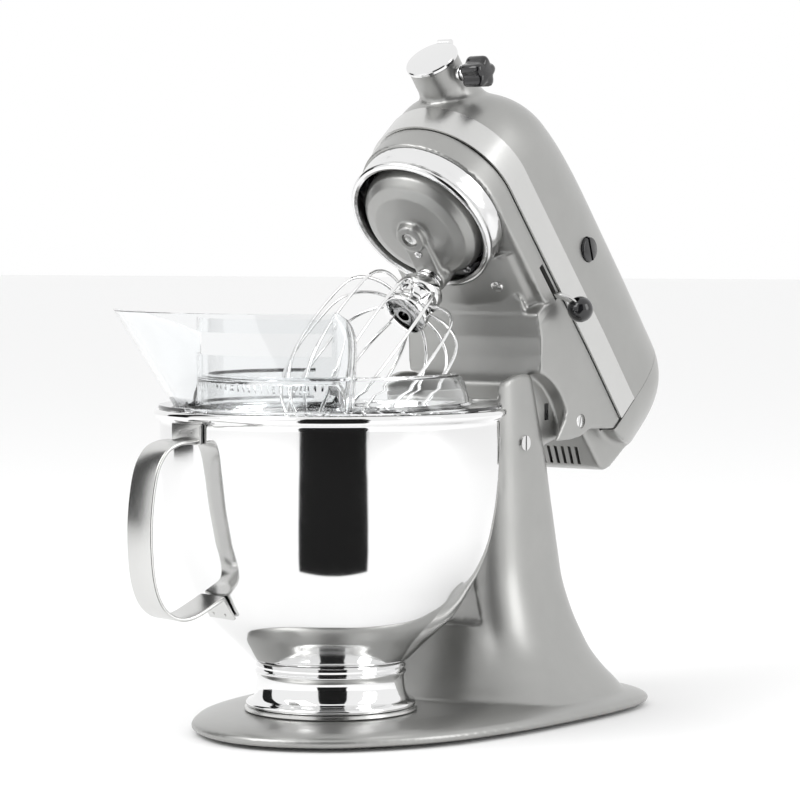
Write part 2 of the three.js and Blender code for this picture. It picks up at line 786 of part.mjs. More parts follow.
function lowerCasing() {
  const top = TRIM_LOW + TRIM_H;
  const rear = -REAR_SEAM + GAP;
  const skirt = keep(
    pushed(planRing(-0.6, rear), SKIRT_BOTTOM, TRIM_LOW - GAP, "z"),
    block(-70, 70, -220, -20, 0, 100),
  );
  const behindTrim = pushed(planRing(-TRIM_T - GAP, rear), TRIM_LOW - 1, top, "z");
  const bandEnd = pushed(planRing(0, rear), TRIM_LOW - 1, top, "z");
  const endLip = keep(bandEnd, block(-70, 70, REAR_SEAM - 1.5, REAR_SEAM - GAP, TRIM_LOW - 1, top));
  // Side panels and neck reach down round the hinge.
  const panel = pushed(
    [
      [-104, CASE_BOTTOM + 1],
      [-52, CASE_BOTTOM],
      [-38, 53],
      [-25, 36],
      [-20.4, 33.6],
      [-20, 20],
      [-14, 8],
      [14, 8],
      [19, 22],
      [30, 36],
      [36, 46],
      [40, 58.5],
      [REAR_SEAM - GAP, 79],
      [REAR_SEAM - GAP, TRIM_LOW - GAP],
      [-104, TRIM_LOW - GAP],
    ],
    -HEAD_HALF_W,
    HEAD_HALF_W,
    "x",
  );
  const trimmedPanel = keep(panel, pushed(planRing(-0.6, rear), -10, TRIM_LOW, "z"));
  const neck = join(
    rod(NECK_R, 2 * NECK_HALF_W, "x", [0, 0, 0], 32),
    pushed(
      [
        [-38, 54],
        [-25, 36],
        [-NECK_R - 0.1, 33.6],
        [-NECK_R, 0],
        [NECK_R, 0],
        [24, 24],
        [36, 50],
        [36, 64],
        [-38, 64],
      ],
      -NECK_HALF_W,
      NECK_HALF_W,
      "x",
    ),
  );
  // The cheeks of the pedestal live in these recesses through the whole tilt.
  const recess = [1, -1].map((side) =>
    pushed(
      [
        ...Array.from({ length: 17 }, (_, i) => {
          const angle = rad(-55 + i * 10);
          return [-(CHEEK_R + 1.6) * Math.cos(angle), (CHEEK_R + 1.6) * Math.sin(angle)];
        }),
        [16, 38],
        [21, 22],
        [27, -10],
        [40, -60],
      ],
      side > 0 ? NECK_HALF_W : -HEAD_HALF_W - 2,
      side > 0 ? HEAD_HALF_W + 2 : -NECK_HALF_W,
      "x",
    ),
  );
  // The cheeks' own thickness is cleared right round the pin, behind the outer skin.
  const cheekDepth = COLUMN_HALF_W + 0.8 - NECK_HALF_W;
  const cheekRooms = [1, -1].map((side) => {
    return rod(CHEEK_R + 1.6, cheekDepth, "x", [side * (NECK_HALF_W + cheekDepth / 2), 0, 0], 40);
  });
  const underside = pushed(
    [
      [REAR_SEAM + 5, CASE_BOTTOM - 20],
      [REAR_SEAM + 5, 66],
      [40, 58],
    ],
    -80,
    80,
    "x",
  );
  const pocketDepth = 2 * (RING_GEAR_U - CASE_BOTTOM) + 2;
  const planetPocket = rod(RING_R + 2, pocketDepth, "z", [0, -PLANET_A, CASE_BOTTOM], 32);
  const gearPocket = rod(RING_GEAR_R + GAP, 14, "z", [0, -PLANET_A, RING_GEAR_U + GAP], 32);
  const gearBay = join(
    rod(BAY_R, top - BAY_FLOOR + 4, "z", [0, -PLANET_A, (top + BAY_FLOOR) / 2 + 2], 32),
    block(-BAY_R, BAY_R, -PLANET_A, REAR_SEAM + 2, BAY_FLOOR, top + 2),
    block(-BAY_R, BAY_R, -20, REAR_SEAM + 2, 84, top + 2),
  );
  const shaftBore = rod(8 + GAP, 60, "z", [0, -PLANET_A, 90], 24);
  const pinBore = rod(PIN_R + GAP, 140, "x", [0, 0, 0], 24);
  const plugs = [1, -1].map((side) => {
    return rod(PLUG_R + GAP, 8, "z", [side * PLUG_X, -PLUG_A, PLUG_FACE_U + 2], 16);
  });
  const screws = [1, -1].map((side) => {
    return rod(SCREW_R + GAP, 10, "x", [side * HEAD_HALF_W, -SCREW_A, SCREW_U], 20);
  });
  const slots = leverSlots();
  return cut(
    join(skirt, behindTrim, endLip, trimmedPanel, neck),
    ...recess,
    ...cheekRooms,
    underside,
    planetPocket,
    gearPocket,
    gearBay,
    shaftBore,
    pinBore,
    ...plugs,
    ...screws,
    ...slots,
  );
}


function leverSlots() {
  const tall = LEVER_T / 2 + 0.6;
  return [
    block(36, 70, -LOCK_A - LOCK_TRAVEL - 3, -LOCK_A + 3, LEVER_U - tall, LEVER_U + tall),
    block(-70, -36, -SPEED_A - SPEED_TRAVEL - 3, -SPEED_A + 3, LEVER_U - tall, LEVER_U + tall),
  ];
}

function trimBand() {
  const rear = -REAR_SEAM + 1.8;
  const outline = planRing(TRIM_PROUD, rear);
  const inside = planRing(TRIM_PROUD - TRIM_T, rear - 5);
  const low = TRIM_LOW + GAP;
  const high = TRIM_LOW + TRIM_H - GAP;
  return cut(pushed(outline, low, high, "z"), pushed(inside, low - 1, high + 1, "z"));
}

function dripRing() {
  const ring = turned([
    [RING_R - 4, RING_BOTTOM],
    [RING_R - 1.5, RING_BOTTOM - 0.6],
    [RING_R + 0.2, RING_BOTTOM + 1],
    [RING_R - 0.6, RING_BOTTOM + 3.6],
    [RING_R + 1.4, SKIRT_BOTTOM - GAP],
    [RING_R - 2.6, SKIRT_BOTTOM - GAP],
    [RING_R - 4, RING_BOTTOM],
  ], 32);
  return ring.translate([0, -PLANET_A, 0]);
}

function addHead() {
  add(head, "head_upper_housing", upperHousing(), "paint");
  add(head, "rear_cover", rearCover(), "paint");
  add(head, "head_lower_casing", lowerCasing(), "paint");
  add(head, "trim_band", trimBand(), "brushed");
  add(head, "drip_ring", dripRing(), "chrome");
  const slotCut = (x, y, z, half) => block(x - 0.7, x + 0.7, y - half, y + half, z - 0.6, z + 0.6);
  [1, -1].forEach((side) => {
    const tag = side > 0 ? "right" : "left";
    const face = HEAD_HALF_W + 0.4;
    const cap = cut(
      rod(BRUSH_R, 8, "x", [side * (face - 4), -BRUSH_A, BRUSH_U], 24),
      slotCut(side * face, -BRUSH_A, BRUSH_U, BRUSH_R + 1),
      rod(4 + GAP, 10, "x", [side * (face - 8.6), -BRUSH_A, BRUSH_U], 16),
    );
    add(head, `brush_cap_${tag}`, cap, "black");
    const plugX = side * PLUG_X;
    const plug = cut(
      rod(PLUG_R, 4, "z", [plugX, -PLUG_A, PLUG_FACE_U + 2], 16),
      block(plugX - 0.6, plugX + 0.6, -PLUG_A - 6, -PLUG_A + 6, PLUG_FACE_U - 1, PLUG_FACE_U + 0.8),
    );
    add(head, `casing_plug_${tag}`, plug, "brushed");
    const screwFace = HEAD_HALF_W - 2;
    const screw = cut(
      rod(SCREW_R, 2.4, "x", [side * (screwFace - 1.4), -SCREW_A, SCREW_U], 20),
      slotCut(side * screwFace, -SCREW_A, SCREW_U, SCREW_R + 1),
    );
    add(head, `hinge_screw_${tag}`, screw, "chrome");
  });
  add(head, "cord_gland", rod(CORD_R, 12, "y", [CORD_X, 86, 84], 24, CORD_R - 1), "black");
}

// ---------------------------------------------------------------- levers, knob and hub cap
function addControls() {
  // A flat lever leaves its slot, turns back along the head and ends in a ball.
  const outline = (a, w, tip) => [
    [38, -a - w],
    [60, -a - w],
    [BALL_X + w, -a + BALL_BACK - 8],
    [BALL_X + w, -a + BALL_BACK - tip],
    [BALL_X - w, -a + BALL_BACK - tip],
    [BALL_X - w, -a + BALL_BACK - 6],
    [58, -a + w],
    [38, -a + w],
  ];
  const mirrored = (shape, side) => (side > 0 ? shape : shape.mirror([1, 0, 0]));
  const leverLow = LEVER_U - LEVER_T / 2;
  const lever = (side, a) => mirrored(pushed(outline(a, 2.2, 3), leverLow, leverLow + LEVER_T, "z"), side);
  const ball = (side, a) => {
    const sphere = solid(new THREE.SphereGeometry(BALL_R, 14, 10).translate(BALL_X, -a + BALL_BACK, LEVER_U));
    const low = LEVER_U - LEVER_T / 2 - GAP;
    const socket = pushed(outline(a, 2.2 + GAP, 3 - GAP), low, low + LEVER_T + 2 * GAP, "z");
    return mirrored(cut(sphere, socket), side);
  };
  add(head, "lock_lever", lever(1, LOCK_A), "brushed");
  add(head, "lock_lever_knob", ball(1, LOCK_A), "black");
  add(head, "speed_lever", lever(-1, SPEED_A), "brushed");
  add(head, "speed_lever_knob", ball(-1, SPEED_A), "black");

  const stem = rod(4, 18, "x", [22, -KNOB_A, KNOB_U], 16);
  add(head, "knob_stem", stem, "chrome");
  const grip = pushed(
    Array.from({ length: 40 }, (_, i) => {
      const angle = (i / 40) * TURN;
      const r = KNOB_R + 1.3 * Math.cos(5 * angle);
      return [-KNOB_A + r * Math.cos(angle), KNOB_U + r * Math.sin(angle)];
    }),
    24,
    40,
    "x",
  );
  add(head, "attachment_knob", cut(grip, rod(4 + GAP, 20, "x", [21.3 + GAP, -KNOB_A, KNOB_U], 16)), "black");

  const capFace = rod(HUB_R + 1, 3.4, "y", [0, -(HUB_FRONT + GAP + 1.7), HUB_U], 40);
  const ear = block(-5, 5, -(HUB_FRONT + 3.4), -(HUB_FRONT + GAP), HUB_U + 15, HUB_U + HUB_R + 3.5);
  add(head, "hub_cap", join(capFace, ear), "chrome");
}

// ---------------------------------------------------------------- drive train
// A spur wheel about Z with shallow teeth that clear the wheel they face.
function wheel(radius, height, teeth, bore, z) {
  const outline = Array.from({ length: teeth * 2 }, (_, i) => {
    const angle = (i / (teeth * 2)) * TURN;
    const r = i % 2 ? radius : radius - 1.4;
    return [r * Math.cos(angle), r * Math.sin(angle)];
  });
  return pushed(outline, z, z + height, "z", [circle(bore, 18).reverse()]);
}

function addDrive() {
  const at = (x, a) => [x, -a, 0];
  const onSpindle = (radius, length, y) =>
    cut(
      rod(radius, length, "y", [0, y, MOTOR_U], 24),
      rod(SPINDLE_R + GAP, length + 10, "y", [0, y, MOTOR_U], 16),
    );
  // motor, lying along the head
  const stator = cut(
    rod(MOTOR_R, 44, "y", [0, MOTOR_Y, MOTOR_U], 36),
    rod(ARMATURE_R + 1.5, 60, "y", [0, MOTOR_Y, MOTOR_U], 28),
  );
  const flats = block(2 - MOTOR_R, MOTOR_R - 2, -60, 30, MOTOR_U - 30, MOTOR_U + 34);
  add(head, "motor_stator", keep(stator, flats), "iron");
  add(head, "armature_core", onSpindle(ARMATURE_R, 40, MOTOR_Y), "copper");
  const shaft = join(
    rod(SPINDLE_R, 206, "y", [0, MOTOR_Y + 5, MOTOR_U], 14),
    ...Array.from({ length: 4 }, (_, i) => rod(WORM_R, 2, "y", [0, -(WORM_A - 6 + i * 4), MOTOR_U], 14)),
  );
  add(head, "armature_shaft", shaft, "steel");
  add(head, "commutator", onSpindle(11, 14, MOTOR_Y - 40), "copper");
  const hubRing = onSpindle(9, 10, FAN_Y);
  const blades = Array.from({ length: 8 }, (_, i) => {
    const blade = new THREE.BoxGeometry(2, 8, 24).translate(0, 0, 19).rotateY((i / 8) * TURN);
    return solid(blade.translate(0, FAN_Y, MOTOR_U));
  });
  add(head, "cooling_fan", join(hubRing, ...blades), "black");
  [1, -1].forEach((side) => {
    const tag = side > 0 ? "right" : "left";
    add(head, `motor_brush_${tag}`, rod(3.8, 30, "x", [side * 30, -BRUSH_A, BRUSH_U], 16), "iron");
  });
  add(head, "rear_bearing", onSpindle(11, 7, MOTOR_Y + 80), "steel");
  add(head, "front_bearing", onSpindle(11, 7, MOTOR_Y - 52.6), "steel");

  // worm wheel on its own upright shaft
  const wormX = WORM_R + WORM_WHEEL_R + GAP;
  const wormWheel = wheel(WORM_WHEEL_R, 9, 20, 3 + GAP, MOTOR_U - 4.5).translate(at(wormX, WORM_A));
  add(head, "worm_wheel", wormWheel, "bronze");
  const counterR = 9;
  const counter = join(
    rod(3, 34, "z", [wormX, -WORM_A, 118], 16),
    wheel(counterR, 8, 12, 2, 100.2).translate(at(wormX, WORM_A)),
  );
  add(head, "counter_shaft", counter, "steel");

  // centre shaft and its wheels, on the planetary axis
  const reach = Math.hypot(PLANET_A - WORM_A, wormX) - counterR - GAP;
  add(head, "centre_wheel", wheel(reach, 7, 30, CENTRE_R + GAP, 100.6).translate(at(0, PLANET_A)), "steel");
  add(head, "centre_shaft", rod(CENTRE_R, 71, "z", [0, -PLANET_A, 80], 24), "steel");
  const bevel = turned([[5, 117.5], [17, 117.5], [17, 119], [11, 124], [5, 124], [5, 117.5]], 30);
  const bevelShaft = cut(bevel, rod(CENTRE_R + GAP, 40, "z", [0, 0, 110], 24));
  add(head, "centre_bevel", bevelShaft.translate([0, -PLANET_A, 0]), "steel");

  // attachment hub drive
  const socket = block(-4.2, 4.2, -HUB_FRONT - 5, -(HUB_FRONT - 18), HUB_U - 4.2, HUB_U + 4.2);
  const hubShaft = cut(rod(HUB_BORE - 2 * GAP, 44, "y", [0, -(HUB_FRONT - 30), HUB_U], 20), socket);
  add(head, "hub_drive", hubShaft, "brushed");

  add(head, "planetary_ring_gear", ringGear(), "iron");
  addPlanetary();
}


function ringGear() {
  const middle = RING_GEAR_U + 3.5;
  return cut(
    rod(RING_GEAR_R, 5.4, "z", [0, -PLANET_A, middle], 32),
    rod(RING_GEAR_IN, 20, "z", [0, -PLANET_A, middle], 32),
  );
}


function addPlanetary() {
  const rim = RING_R - 7;
  const pot = turned([
    [0, CARRIER_LOW - 1],
    [rim - 14, CARRIER_LOW - 0.4],
    [rim - 5, CARRIER_LOW + 3],
    [rim - 1, CARRIER_LOW + 9],
    [rim, CARRIER_LOW + 16],
    [rim, 68],
    [0, 68],
  ], 32).translate([0, -PLANET_A, 0]);
  const armA = PLANET_A - ORBIT;
  const boss = rod(10.5, 16, "z", [0, -armA, CARRIER_LOW + 4], 24, 11.4);
  const rib = block(-7, 7, -PLANET_A - 6, -armA, CARRIER_LOW - 5, CARRIER_LOW + 4);
  const centre = rod(9, 9, "z", [0, -PLANET_A, CARRIER_LOW - 1.5], 24);
  const shaftHole = rod(CENTRE_R + GAP, 60, "z", [0, -PLANET_A, CARRIER_LOW + 28], 24);
  const beaterHole = rod(BEATER_R + GAP, 60, "z", [0, -armA, 50], 24);
  const fasten = rod(2.6 + GAP, 6, "z", [0, -(PLANET_A - 12), CARRIER_LOW - 5], 16);
  const carrier = cut(join(pot, boss, rib, centre), shaftHole, beaterHole, fasten);
  add(head, "planetary_carrier", carrier, "paint");
  add(head, "carrier_screw", rod(2.6, 3, "z", [0, -(PLANET_A - 12), CARRIER_LOW - 5.1], 16), "chrome");

  const shaftLow = 16.5;
  const shaft = rod(BEATER_R, 74 - shaftLow, "z", [0, -armA, (74 + shaftLow) / 2], 24);
  const pinU = 22;
  const crossHole = rod(1.6 + GAP, 30, "x", [0, -armA, pinU], 12);
  add(head, "beater_shaft", cut(shaft, crossHole), "steel");
  add(head, "beater_pin", rod(1.6, 21, "x", [0, -armA, pinU], 12), "steel");
  const pinionR = RING_GEAR_IN - ORBIT - GAP;
  add(head, "beater_pinion", wheel(pinionR, 6, 14, BEATER_R + GAP, 76).translate([0, -armA, 0]), "steel");
  add(head, "beater_spring", spring(armA), "steel");
  addWhisk(armA);
}


// Compression spring between the carrier's boss and the whisk's collar.
function spring(armA) {
  const low = 31;
  const high = CARRIER_LOW - 5.4;
  const turns = 2;
  const coil = Array.from({ length: turns * 10 + 1 }, (_, i) => {
    const angle = (i / 10) * TURN;
    const r = BEATER_R + 2;
    const rise = ((high - low - 2) * i) / (turns * 10);
    return new THREE.Vector3(r * Math.cos(angle), -armA + r * Math.sin(angle), low + 1 + rise);
  });
  return swept(coil, circle(0.8, 5), turns * 10);
}

function addWhisk(armA) {
  const hubLow = 3;
  const hubHigh = 29;
  const inner = BEATER_R + GAP;
  const hub = cut(
    join(
      turned([
        [0, hubLow],
        [15, hubLow],
        [15.6, hubLow + 1.4],
        [15.6, hubLow + 4.6],
        [11.4, hubLow + 6],
        [11.4, hubHigh - 8],
        [14.8, hubHigh - 7],
        [14.8, hubHigh],
        [13.8, hubHigh + 1],
        [0, hubHigh + 1],
      ], 20),
    ),
    rod(inner, 30, "z", [0, 0, hubHigh + 1], 20),
    block(-12.4, 12.4, -2.2, 2.2, hubHigh - 10.4, hubHigh - 4),
    rod(4, 40, "z", [0, 0, hubLow + 4], 16),
  );
  add(head, "whisk_hub", hub.translate([0, -armA, 0]), "steel");

  const loops = Array.from({ length: WHISK_LOOPS }, (_, i) => {
    const angle = (i / WHISK_LOOPS) * Math.PI;
    const out = new THREE.Vector3(Math.cos(angle), Math.sin(angle), 0);
    const at = (r, z) => out.clone().multiplyScalar(r).setZ(z);
    const side = [
      [12.6, WHISK_TOP_U],
      [0.56 * WHISK_R, WHISK_TOP_U - 2],
      [0.81 * WHISK_R, WHISK_TOP_U - 9],
      [0.95 * WHISK_R, WHISK_TOP_U - 21],
      [WHISK_R, -32],
      [WHISK_R, -54],
      [0.93 * WHISK_R, -78],
      [0.75 * WHISK_R, -97],
      [0.42 * WHISK_R, WHISK_BOTTOM_U + 5],
    ];
    const points = [
      ...side.map(([r, z]) => at(r, z)),
      at(0, WHISK_BOTTOM_U),
      ...side.slice().reverse().map(([r, z]) => at(-r, z)),
    ];
    return swept(points, circle(WIRE_R, 4), 16);
  });
  const band = cut(
    rod(14.2, 2.6, "z", [0, 0, WHISK_TOP_U], 24),
    rod(11.4 + GAP, 6, "z", [0, 0, WHISK_TOP_U], 24),
  );
  add(head, "whisk_wires", join(band, ...loops).translate([0, -armA, 0]), "steel");
}

// ---------------------------------------------------------------- assembly
addBase();
addBowl();
addShield();
addHead();
addControls();
addDrive();

group.updateMatrixWorld(true);
const bounds = new THREE.Box3().setFromObject(group, true);
group.position.set(0, -(bounds.min.y + bounds.max.y) / 2, -bounds.min.z);
group.updateMatrixWorld(true);

export default group;
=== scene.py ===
"""Stand mixer with its head raised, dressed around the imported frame."""

import json
import logging
import math
from dataclasses import dataclass
from enum import Enum

import bmesh
import bpy
from mathutils import Matrix, Vector


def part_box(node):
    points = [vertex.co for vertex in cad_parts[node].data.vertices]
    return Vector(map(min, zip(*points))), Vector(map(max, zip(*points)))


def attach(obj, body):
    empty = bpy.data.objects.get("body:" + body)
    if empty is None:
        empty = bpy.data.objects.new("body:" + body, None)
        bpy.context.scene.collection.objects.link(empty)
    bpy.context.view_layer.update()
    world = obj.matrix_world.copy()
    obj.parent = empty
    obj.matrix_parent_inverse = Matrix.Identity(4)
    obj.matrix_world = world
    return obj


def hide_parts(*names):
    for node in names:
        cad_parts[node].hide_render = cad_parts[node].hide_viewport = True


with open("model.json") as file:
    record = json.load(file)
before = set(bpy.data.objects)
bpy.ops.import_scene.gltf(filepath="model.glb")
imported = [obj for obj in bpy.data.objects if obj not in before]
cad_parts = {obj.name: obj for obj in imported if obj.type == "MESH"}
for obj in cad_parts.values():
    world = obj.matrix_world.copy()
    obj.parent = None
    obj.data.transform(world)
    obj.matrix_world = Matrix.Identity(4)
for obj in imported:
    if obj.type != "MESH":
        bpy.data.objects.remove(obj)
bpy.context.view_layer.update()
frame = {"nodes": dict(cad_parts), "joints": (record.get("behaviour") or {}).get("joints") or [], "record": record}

MM = 0.001
GAP = 0.3
TURN = 2 * math.pi
WELD = 2e-6  # metres between corners that become one
LOG = logging.getLogger("stand_mixer")

Point = tuple[float, float, float]
Pair = tuple[float, float]
Ring = list[Point]


class Axis(Enum):
    """The direction in which a flat outline is pushed, or a bar is laid."""

    X = "x"
    Y = "y"
    Z = "z"


class Cut(Enum):
    """The ways in which two solids are combined."""

    UNION = "UNION"
    DIFFERENCE = "DIFFERENCE"
    INTERSECT = "INTERSECT"


# ---------------------------------------------------------------- places
@dataclass(frozen=True)
class Places:
    """Where the bowl's axis and the tilting head stand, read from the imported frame."""

    bowl_y: float
    pin: Point
    tilt: float

    @classmethod
    def read(cls) -> "Places":
        """Takes the places from the frame's boxes and its tilt joint.

        Returns:
            The places.
        """
        low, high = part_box("bowl_shell")
        tilt = next(j for j in frame["joints"] if j["name"] == "head_tilt")
        return cls((low.y + high.y) / 2, tuple(tilt["pos_m"]), math.radians(max(tilt["range_deg"])))

    @property
    def bowl(self) -> Matrix:
        """The matrix from millimetres about the bowl's axis to the frame."""
        return Matrix.Translation((0, self.bowl_y, 0)) @ Matrix.Scale(MM, 4)

    @property
    def head(self) -> Matrix:
        """The matrix from millimetres on the level head to the raised head in the frame."""
        lift = Matrix.Rotation(-self.tilt, 4, "X")
        return Matrix.Translation(self.pin) @ lift @ Matrix.Scale(MM, 4)


PLACES = Places.read()


# ---------------------------------------------------------------- finishes
COAT_ROUGHNESS = 0.12
CLEAR_IOR = 1.45
BROAD_SHARE = 60  # the colour wanders on a scale this many times coarser than the fine structure


@dataclass(frozen=True)
class Finish:
    """A procedural surface: its colour, shine and fine structure.

    Attributes:
        name: the material's name.
        colour: linear base colour.
        metallic: 1 for bare metal, 0 for plastic.
        roughness: mean roughness.
        spread: how far the roughness wanders about its mean.
        shade: how far the colour wanders about its mean, as a share.
        scale: size of the fine structure, as cycles in a metre.
        stretch: scale factors of the structure along x, y and z.
        bump: height of the fine structure in millimetres.
        coat: weight of a clear coat.
        clear: transmission weight.
    """

    name: str
    colour: Point
    metallic: float
    roughness: float
    spread: float = 0.03
    shade: float = 0.03
    scale: float = 900.0
    stretch: Point = (1.0, 1.0, 1.0)
    bump: float = 0.01
    coat: float = 0.0
    clear: float = 0.0

    def make(self) -> bpy.types.Material:
        """Builds the node material.

        Returns:
            The material, with noise driving its colour, roughness and bump.
        """
        found = bpy.data.materials.get(self.name)
        if found:
            return found
        material = bpy.data.materials.new(self.name)
        material.use_nodes = True
        tree = material.node_tree
        shader = tree.nodes["Principled BSDF"]
        shader.inputs["Metallic"].default_value = self.metallic
        shader.inputs["Coat Weight"].default_value = self.coat
        shader.inputs["Coat Roughness"].default_value = COAT_ROUGHNESS
        shader.inputs["Transmission Weight"].default_value = self.clear
        shader.inputs["IOR"].default_value = CLEAR_IOR
        place = tree.nodes.new("ShaderNodeTexCoord")
        mapping = tree.nodes.new("ShaderNodeMapping")
        mapping.inputs["Scale"].default_value = self.stretch
        tree.links.new(place.outputs["Object"], mapping.inputs["Vector"])
        fine = self._noise(tree, mapping, self.scale)
        broad = self._noise(tree, mapping, self.scale / BROAD_SHARE)
        rough = tree.nodes.new("ShaderNodeMapRange")
        rough.inputs["To Min"].default_value = max(0.0, self.roughness - self.spread)
        rough.inputs["To Max"].default_value = self.roughness + self.spread
        tree.links.new(fine, rough.inputs["Value"])
        tree.links.new(rough.outputs["Result"], shader.inputs["Roughness"])
        tint = tree.nodes.new("ShaderNodeValToRGB")
        tint.color_ramp.elements[0].position = 0.35
        tint.color_ramp.elements[1].position = 0.65
        for element, share in zip(tint.color_ramp.elements, (1 - self.shade, 1 + self.shade)):
            element.color = (*(min(1.0, c * share) for c in self.colour), 1)
        tree.links.new(broad, tint.inputs["Fac"])
        tree.links.new(tint.outputs["Color"], shader.inputs["Base Color"])
        bump = tree.nodes.new("ShaderNodeBump")
        bump.inputs["Strength"].default_value = 0.5
        bump.inputs["Distance"].default_value = self.bump * MM
        tree.links.new(fine, bump.inputs["Height"])
        tree.links.new(bump.outputs["Normal"], shader.inputs["Normal"])
        return material

    @staticmethod
    def _noise(tree: bpy.types.NodeTree, mapping: bpy.types.Node, scale: float) -> bpy.types.NodeSocket:
        """Adds one noise texture.

        Args:
            tree: the material's nodes.
            mapping: the node that gives the texture its place.
            scale: size of the noise, as cycles in a metre.

        Returns:
            The noise's value socket.
        """
        noise = tree.nodes.new("ShaderNodeTexNoise")
        noise.inputs["Scale"].default_value = scale
        noise.inputs["Detail"].default_value = 3
        tree.links.new(mapping.outputs["Vector"], noise.inputs["Vector"])
        return noise.outputs["Fac"]


class Look(Enum):
    """The finishes of the mixer, each with the record's slot that it belongs to."""

    PAINT = Finish("satin_enamel", (0.385, 0.385, 0.375), 0.85, 0.36, 0.05, 0.02, 2600, bump=0.02, coat=0.25)
    STEEL = Finish("polished_steel", (0.86, 0.86, 0.86), 1.0, 0.07, 0.02, 0.01, 500, (1, 1, 0.1), 0.004)
    BRUSHED = Finish("brushed_steel", (0.66, 0.66, 0.65), 1.0, 0.24, 0.06, 0.02, 1500, (1, 1, 0.06), 0.01)
    CHROME = Finish("bright_chrome", (0.82, 0.82, 0.82), 1.0, 0.13, 0.02, 0.01, 400, bump=0.003)
    BLACK = Finish("gloss_black", (0.008, 0.008, 0.009), 0.0, 0.14, 0.03, 0.1, 700, bump=0.01, coat=0.6)
    RUBBER = Finish("dark_rubber", (0.02, 0.02, 0.02), 0.0, 0.8, 0.08, 0.2, 900, bump=0.08)
    CLEAR = Finish("clear_moulding", (0.97, 0.98, 0.985), 0.0, 0.03, 0.015, 0.0, 200, bump=0.01, clear=1.0)
    COPPER = Finish("copper_wire", (0.55, 0.25, 0.12), 1.0, 0.35, 0.08, 0.1, 1200, bump=0.05)
    IRON = Finish("machined_iron", (0.16, 0.16, 0.17), 0.9, 0.5, 0.08, 0.1, 900, bump=0.05)
    BRONZE = Finish("cast_bronze", (0.42, 0.28, 0.11), 1.0, 0.4, 0.08, 0.08, 700, bump=0.04)

    @property
    def slot(self) -> str:
        """The record's material slot of this finish."""
        return self.name.lower()


# ---------------------------------------------------------------- mesh tools
def mesh_of(
    name: str, points: list[Point], faces: list[tuple[int, ...]], place: Matrix
) -> bpy.types.Object:
    """Makes an object from points and faces, with its place kept in the mesh.

    Args:
        name: the piece's name.
        points: corners in the piece's own millimetres.
        faces: corner numbers of each face.
        place: the matrix to the frame.

    Returns:
        The new object, linked to the scene, with outward normals.
    """
    mesh = bpy.data.meshes.new(name)
    mesh.from_pydata(points, [], faces)
    mesh.transform(place)
    shape = bmesh.new()
    shape.from_mesh(mesh)
    bmesh.ops.remove_doubles(shape, verts=shape.verts, dist=WELD)
    bmesh.ops.recalc_face_normals(shape, faces=shape.faces)
    shape.to_mesh(mesh)
    shape.free()
    made = bpy.data.objects.new(name, mesh)
    bpy.context.scene.collection.objects.link(made)
    return made


def loft(name: str, rings: list[Ring], place: Matrix) -> bpy.types.Object:
    """Skins rings of equal length into one capped solid.

    Args:
        name: the piece's name.
        rings: loops of points, in order.
        place: the matrix to the frame.

    Returns:
        The solid.
    """
    count = len(rings[0])
    points = [p for ring in rings for p in ring]
    faces: list[tuple[int, ...]] = []
    for r in range(len(rings) - 1):
        low, high = r * count, (r + 1) * count
        for i in range(count):
            j = (i + 1) % count
            faces.append((low + i, low + j, high + j, high + i))
    faces.append(tuple(range(count)))
    faces.append(tuple(reversed(range(len(points) - count, len(points)))))
    return mesh_of(name, points, faces, place)


def lathe(
    name: str, profile: list[Pair], place: Matrix, sides: int = 128, at: Pair = (0, 0)
) -> bpy.types.Object:
    """Turns a profile about a line along Z.

    Args:
        name: the piece's name.
        profile: radius and height pairs, which start and end on the axis or close on themselves.
        place: the matrix to the frame.
        sides: steps round the axis.
        at: x and y of the axis.

    Returns:
        The turned solid.
    """
    rings: list[Ring] = []
    for i in range(sides):
        c, s = math.cos(i / sides * TURN), math.sin(i / sides * TURN)
        rings.append([(at[0] + r * c, at[1] + r * s, z) for r, z in profile])
    count = len(profile)
    open_ended = profile[0][0] < 1e-6 and profile[-1][0] < 1e-6
    faces = []
    for r in range(sides):
        low, high = r * count, ((r + 1) % sides) * count
        for i in range(count - 1 if open_ended else count):
            j = (i + 1) % count
            faces.append((low + i, low + j, high + j, high + i))
    return mesh_of(name, [p for ring in rings for p in ring], faces, place)


def laid(axis: Axis, a: float, b: float, depth: float) -> Point:
    """A point from its depth along an axis and its two other coordinates, in x, y, z order."""
    return {Axis.X: (depth, a, b), Axis.Y: (a, depth, b), Axis.Z: (a, b, depth)}[axis]


def prism(
    name: str, outline: list[Pair], low: float, high: float, axis: Axis, place: Matrix
) -> bpy.types.Object:
    """Pushes a flat outline along an axis.

    Args:
        name: the piece's name.
        outline: (y, z) pairs for X, (x, z) pairs for Y, (x, y) pairs for Z.
        low: where the push starts.
        high: where it ends.
        axis: the direction.
        place: the matrix to the frame.

    Returns:
        The solid.
    """
    return loft(name, [[laid(axis, a, b, depth) for a, b in outline] for depth in (low, high)], place)


def block(name: str, low: Point, high: Point, place: Matrix) -> bpy.types.Object:
    """A box between two corners."""
    sides = [(low[0], low[1]), (high[0], low[1]), (high[0], high[1]), (low[0], high[1])]
    return prism(name, sides, low[2], high[2], Axis.Z, place)


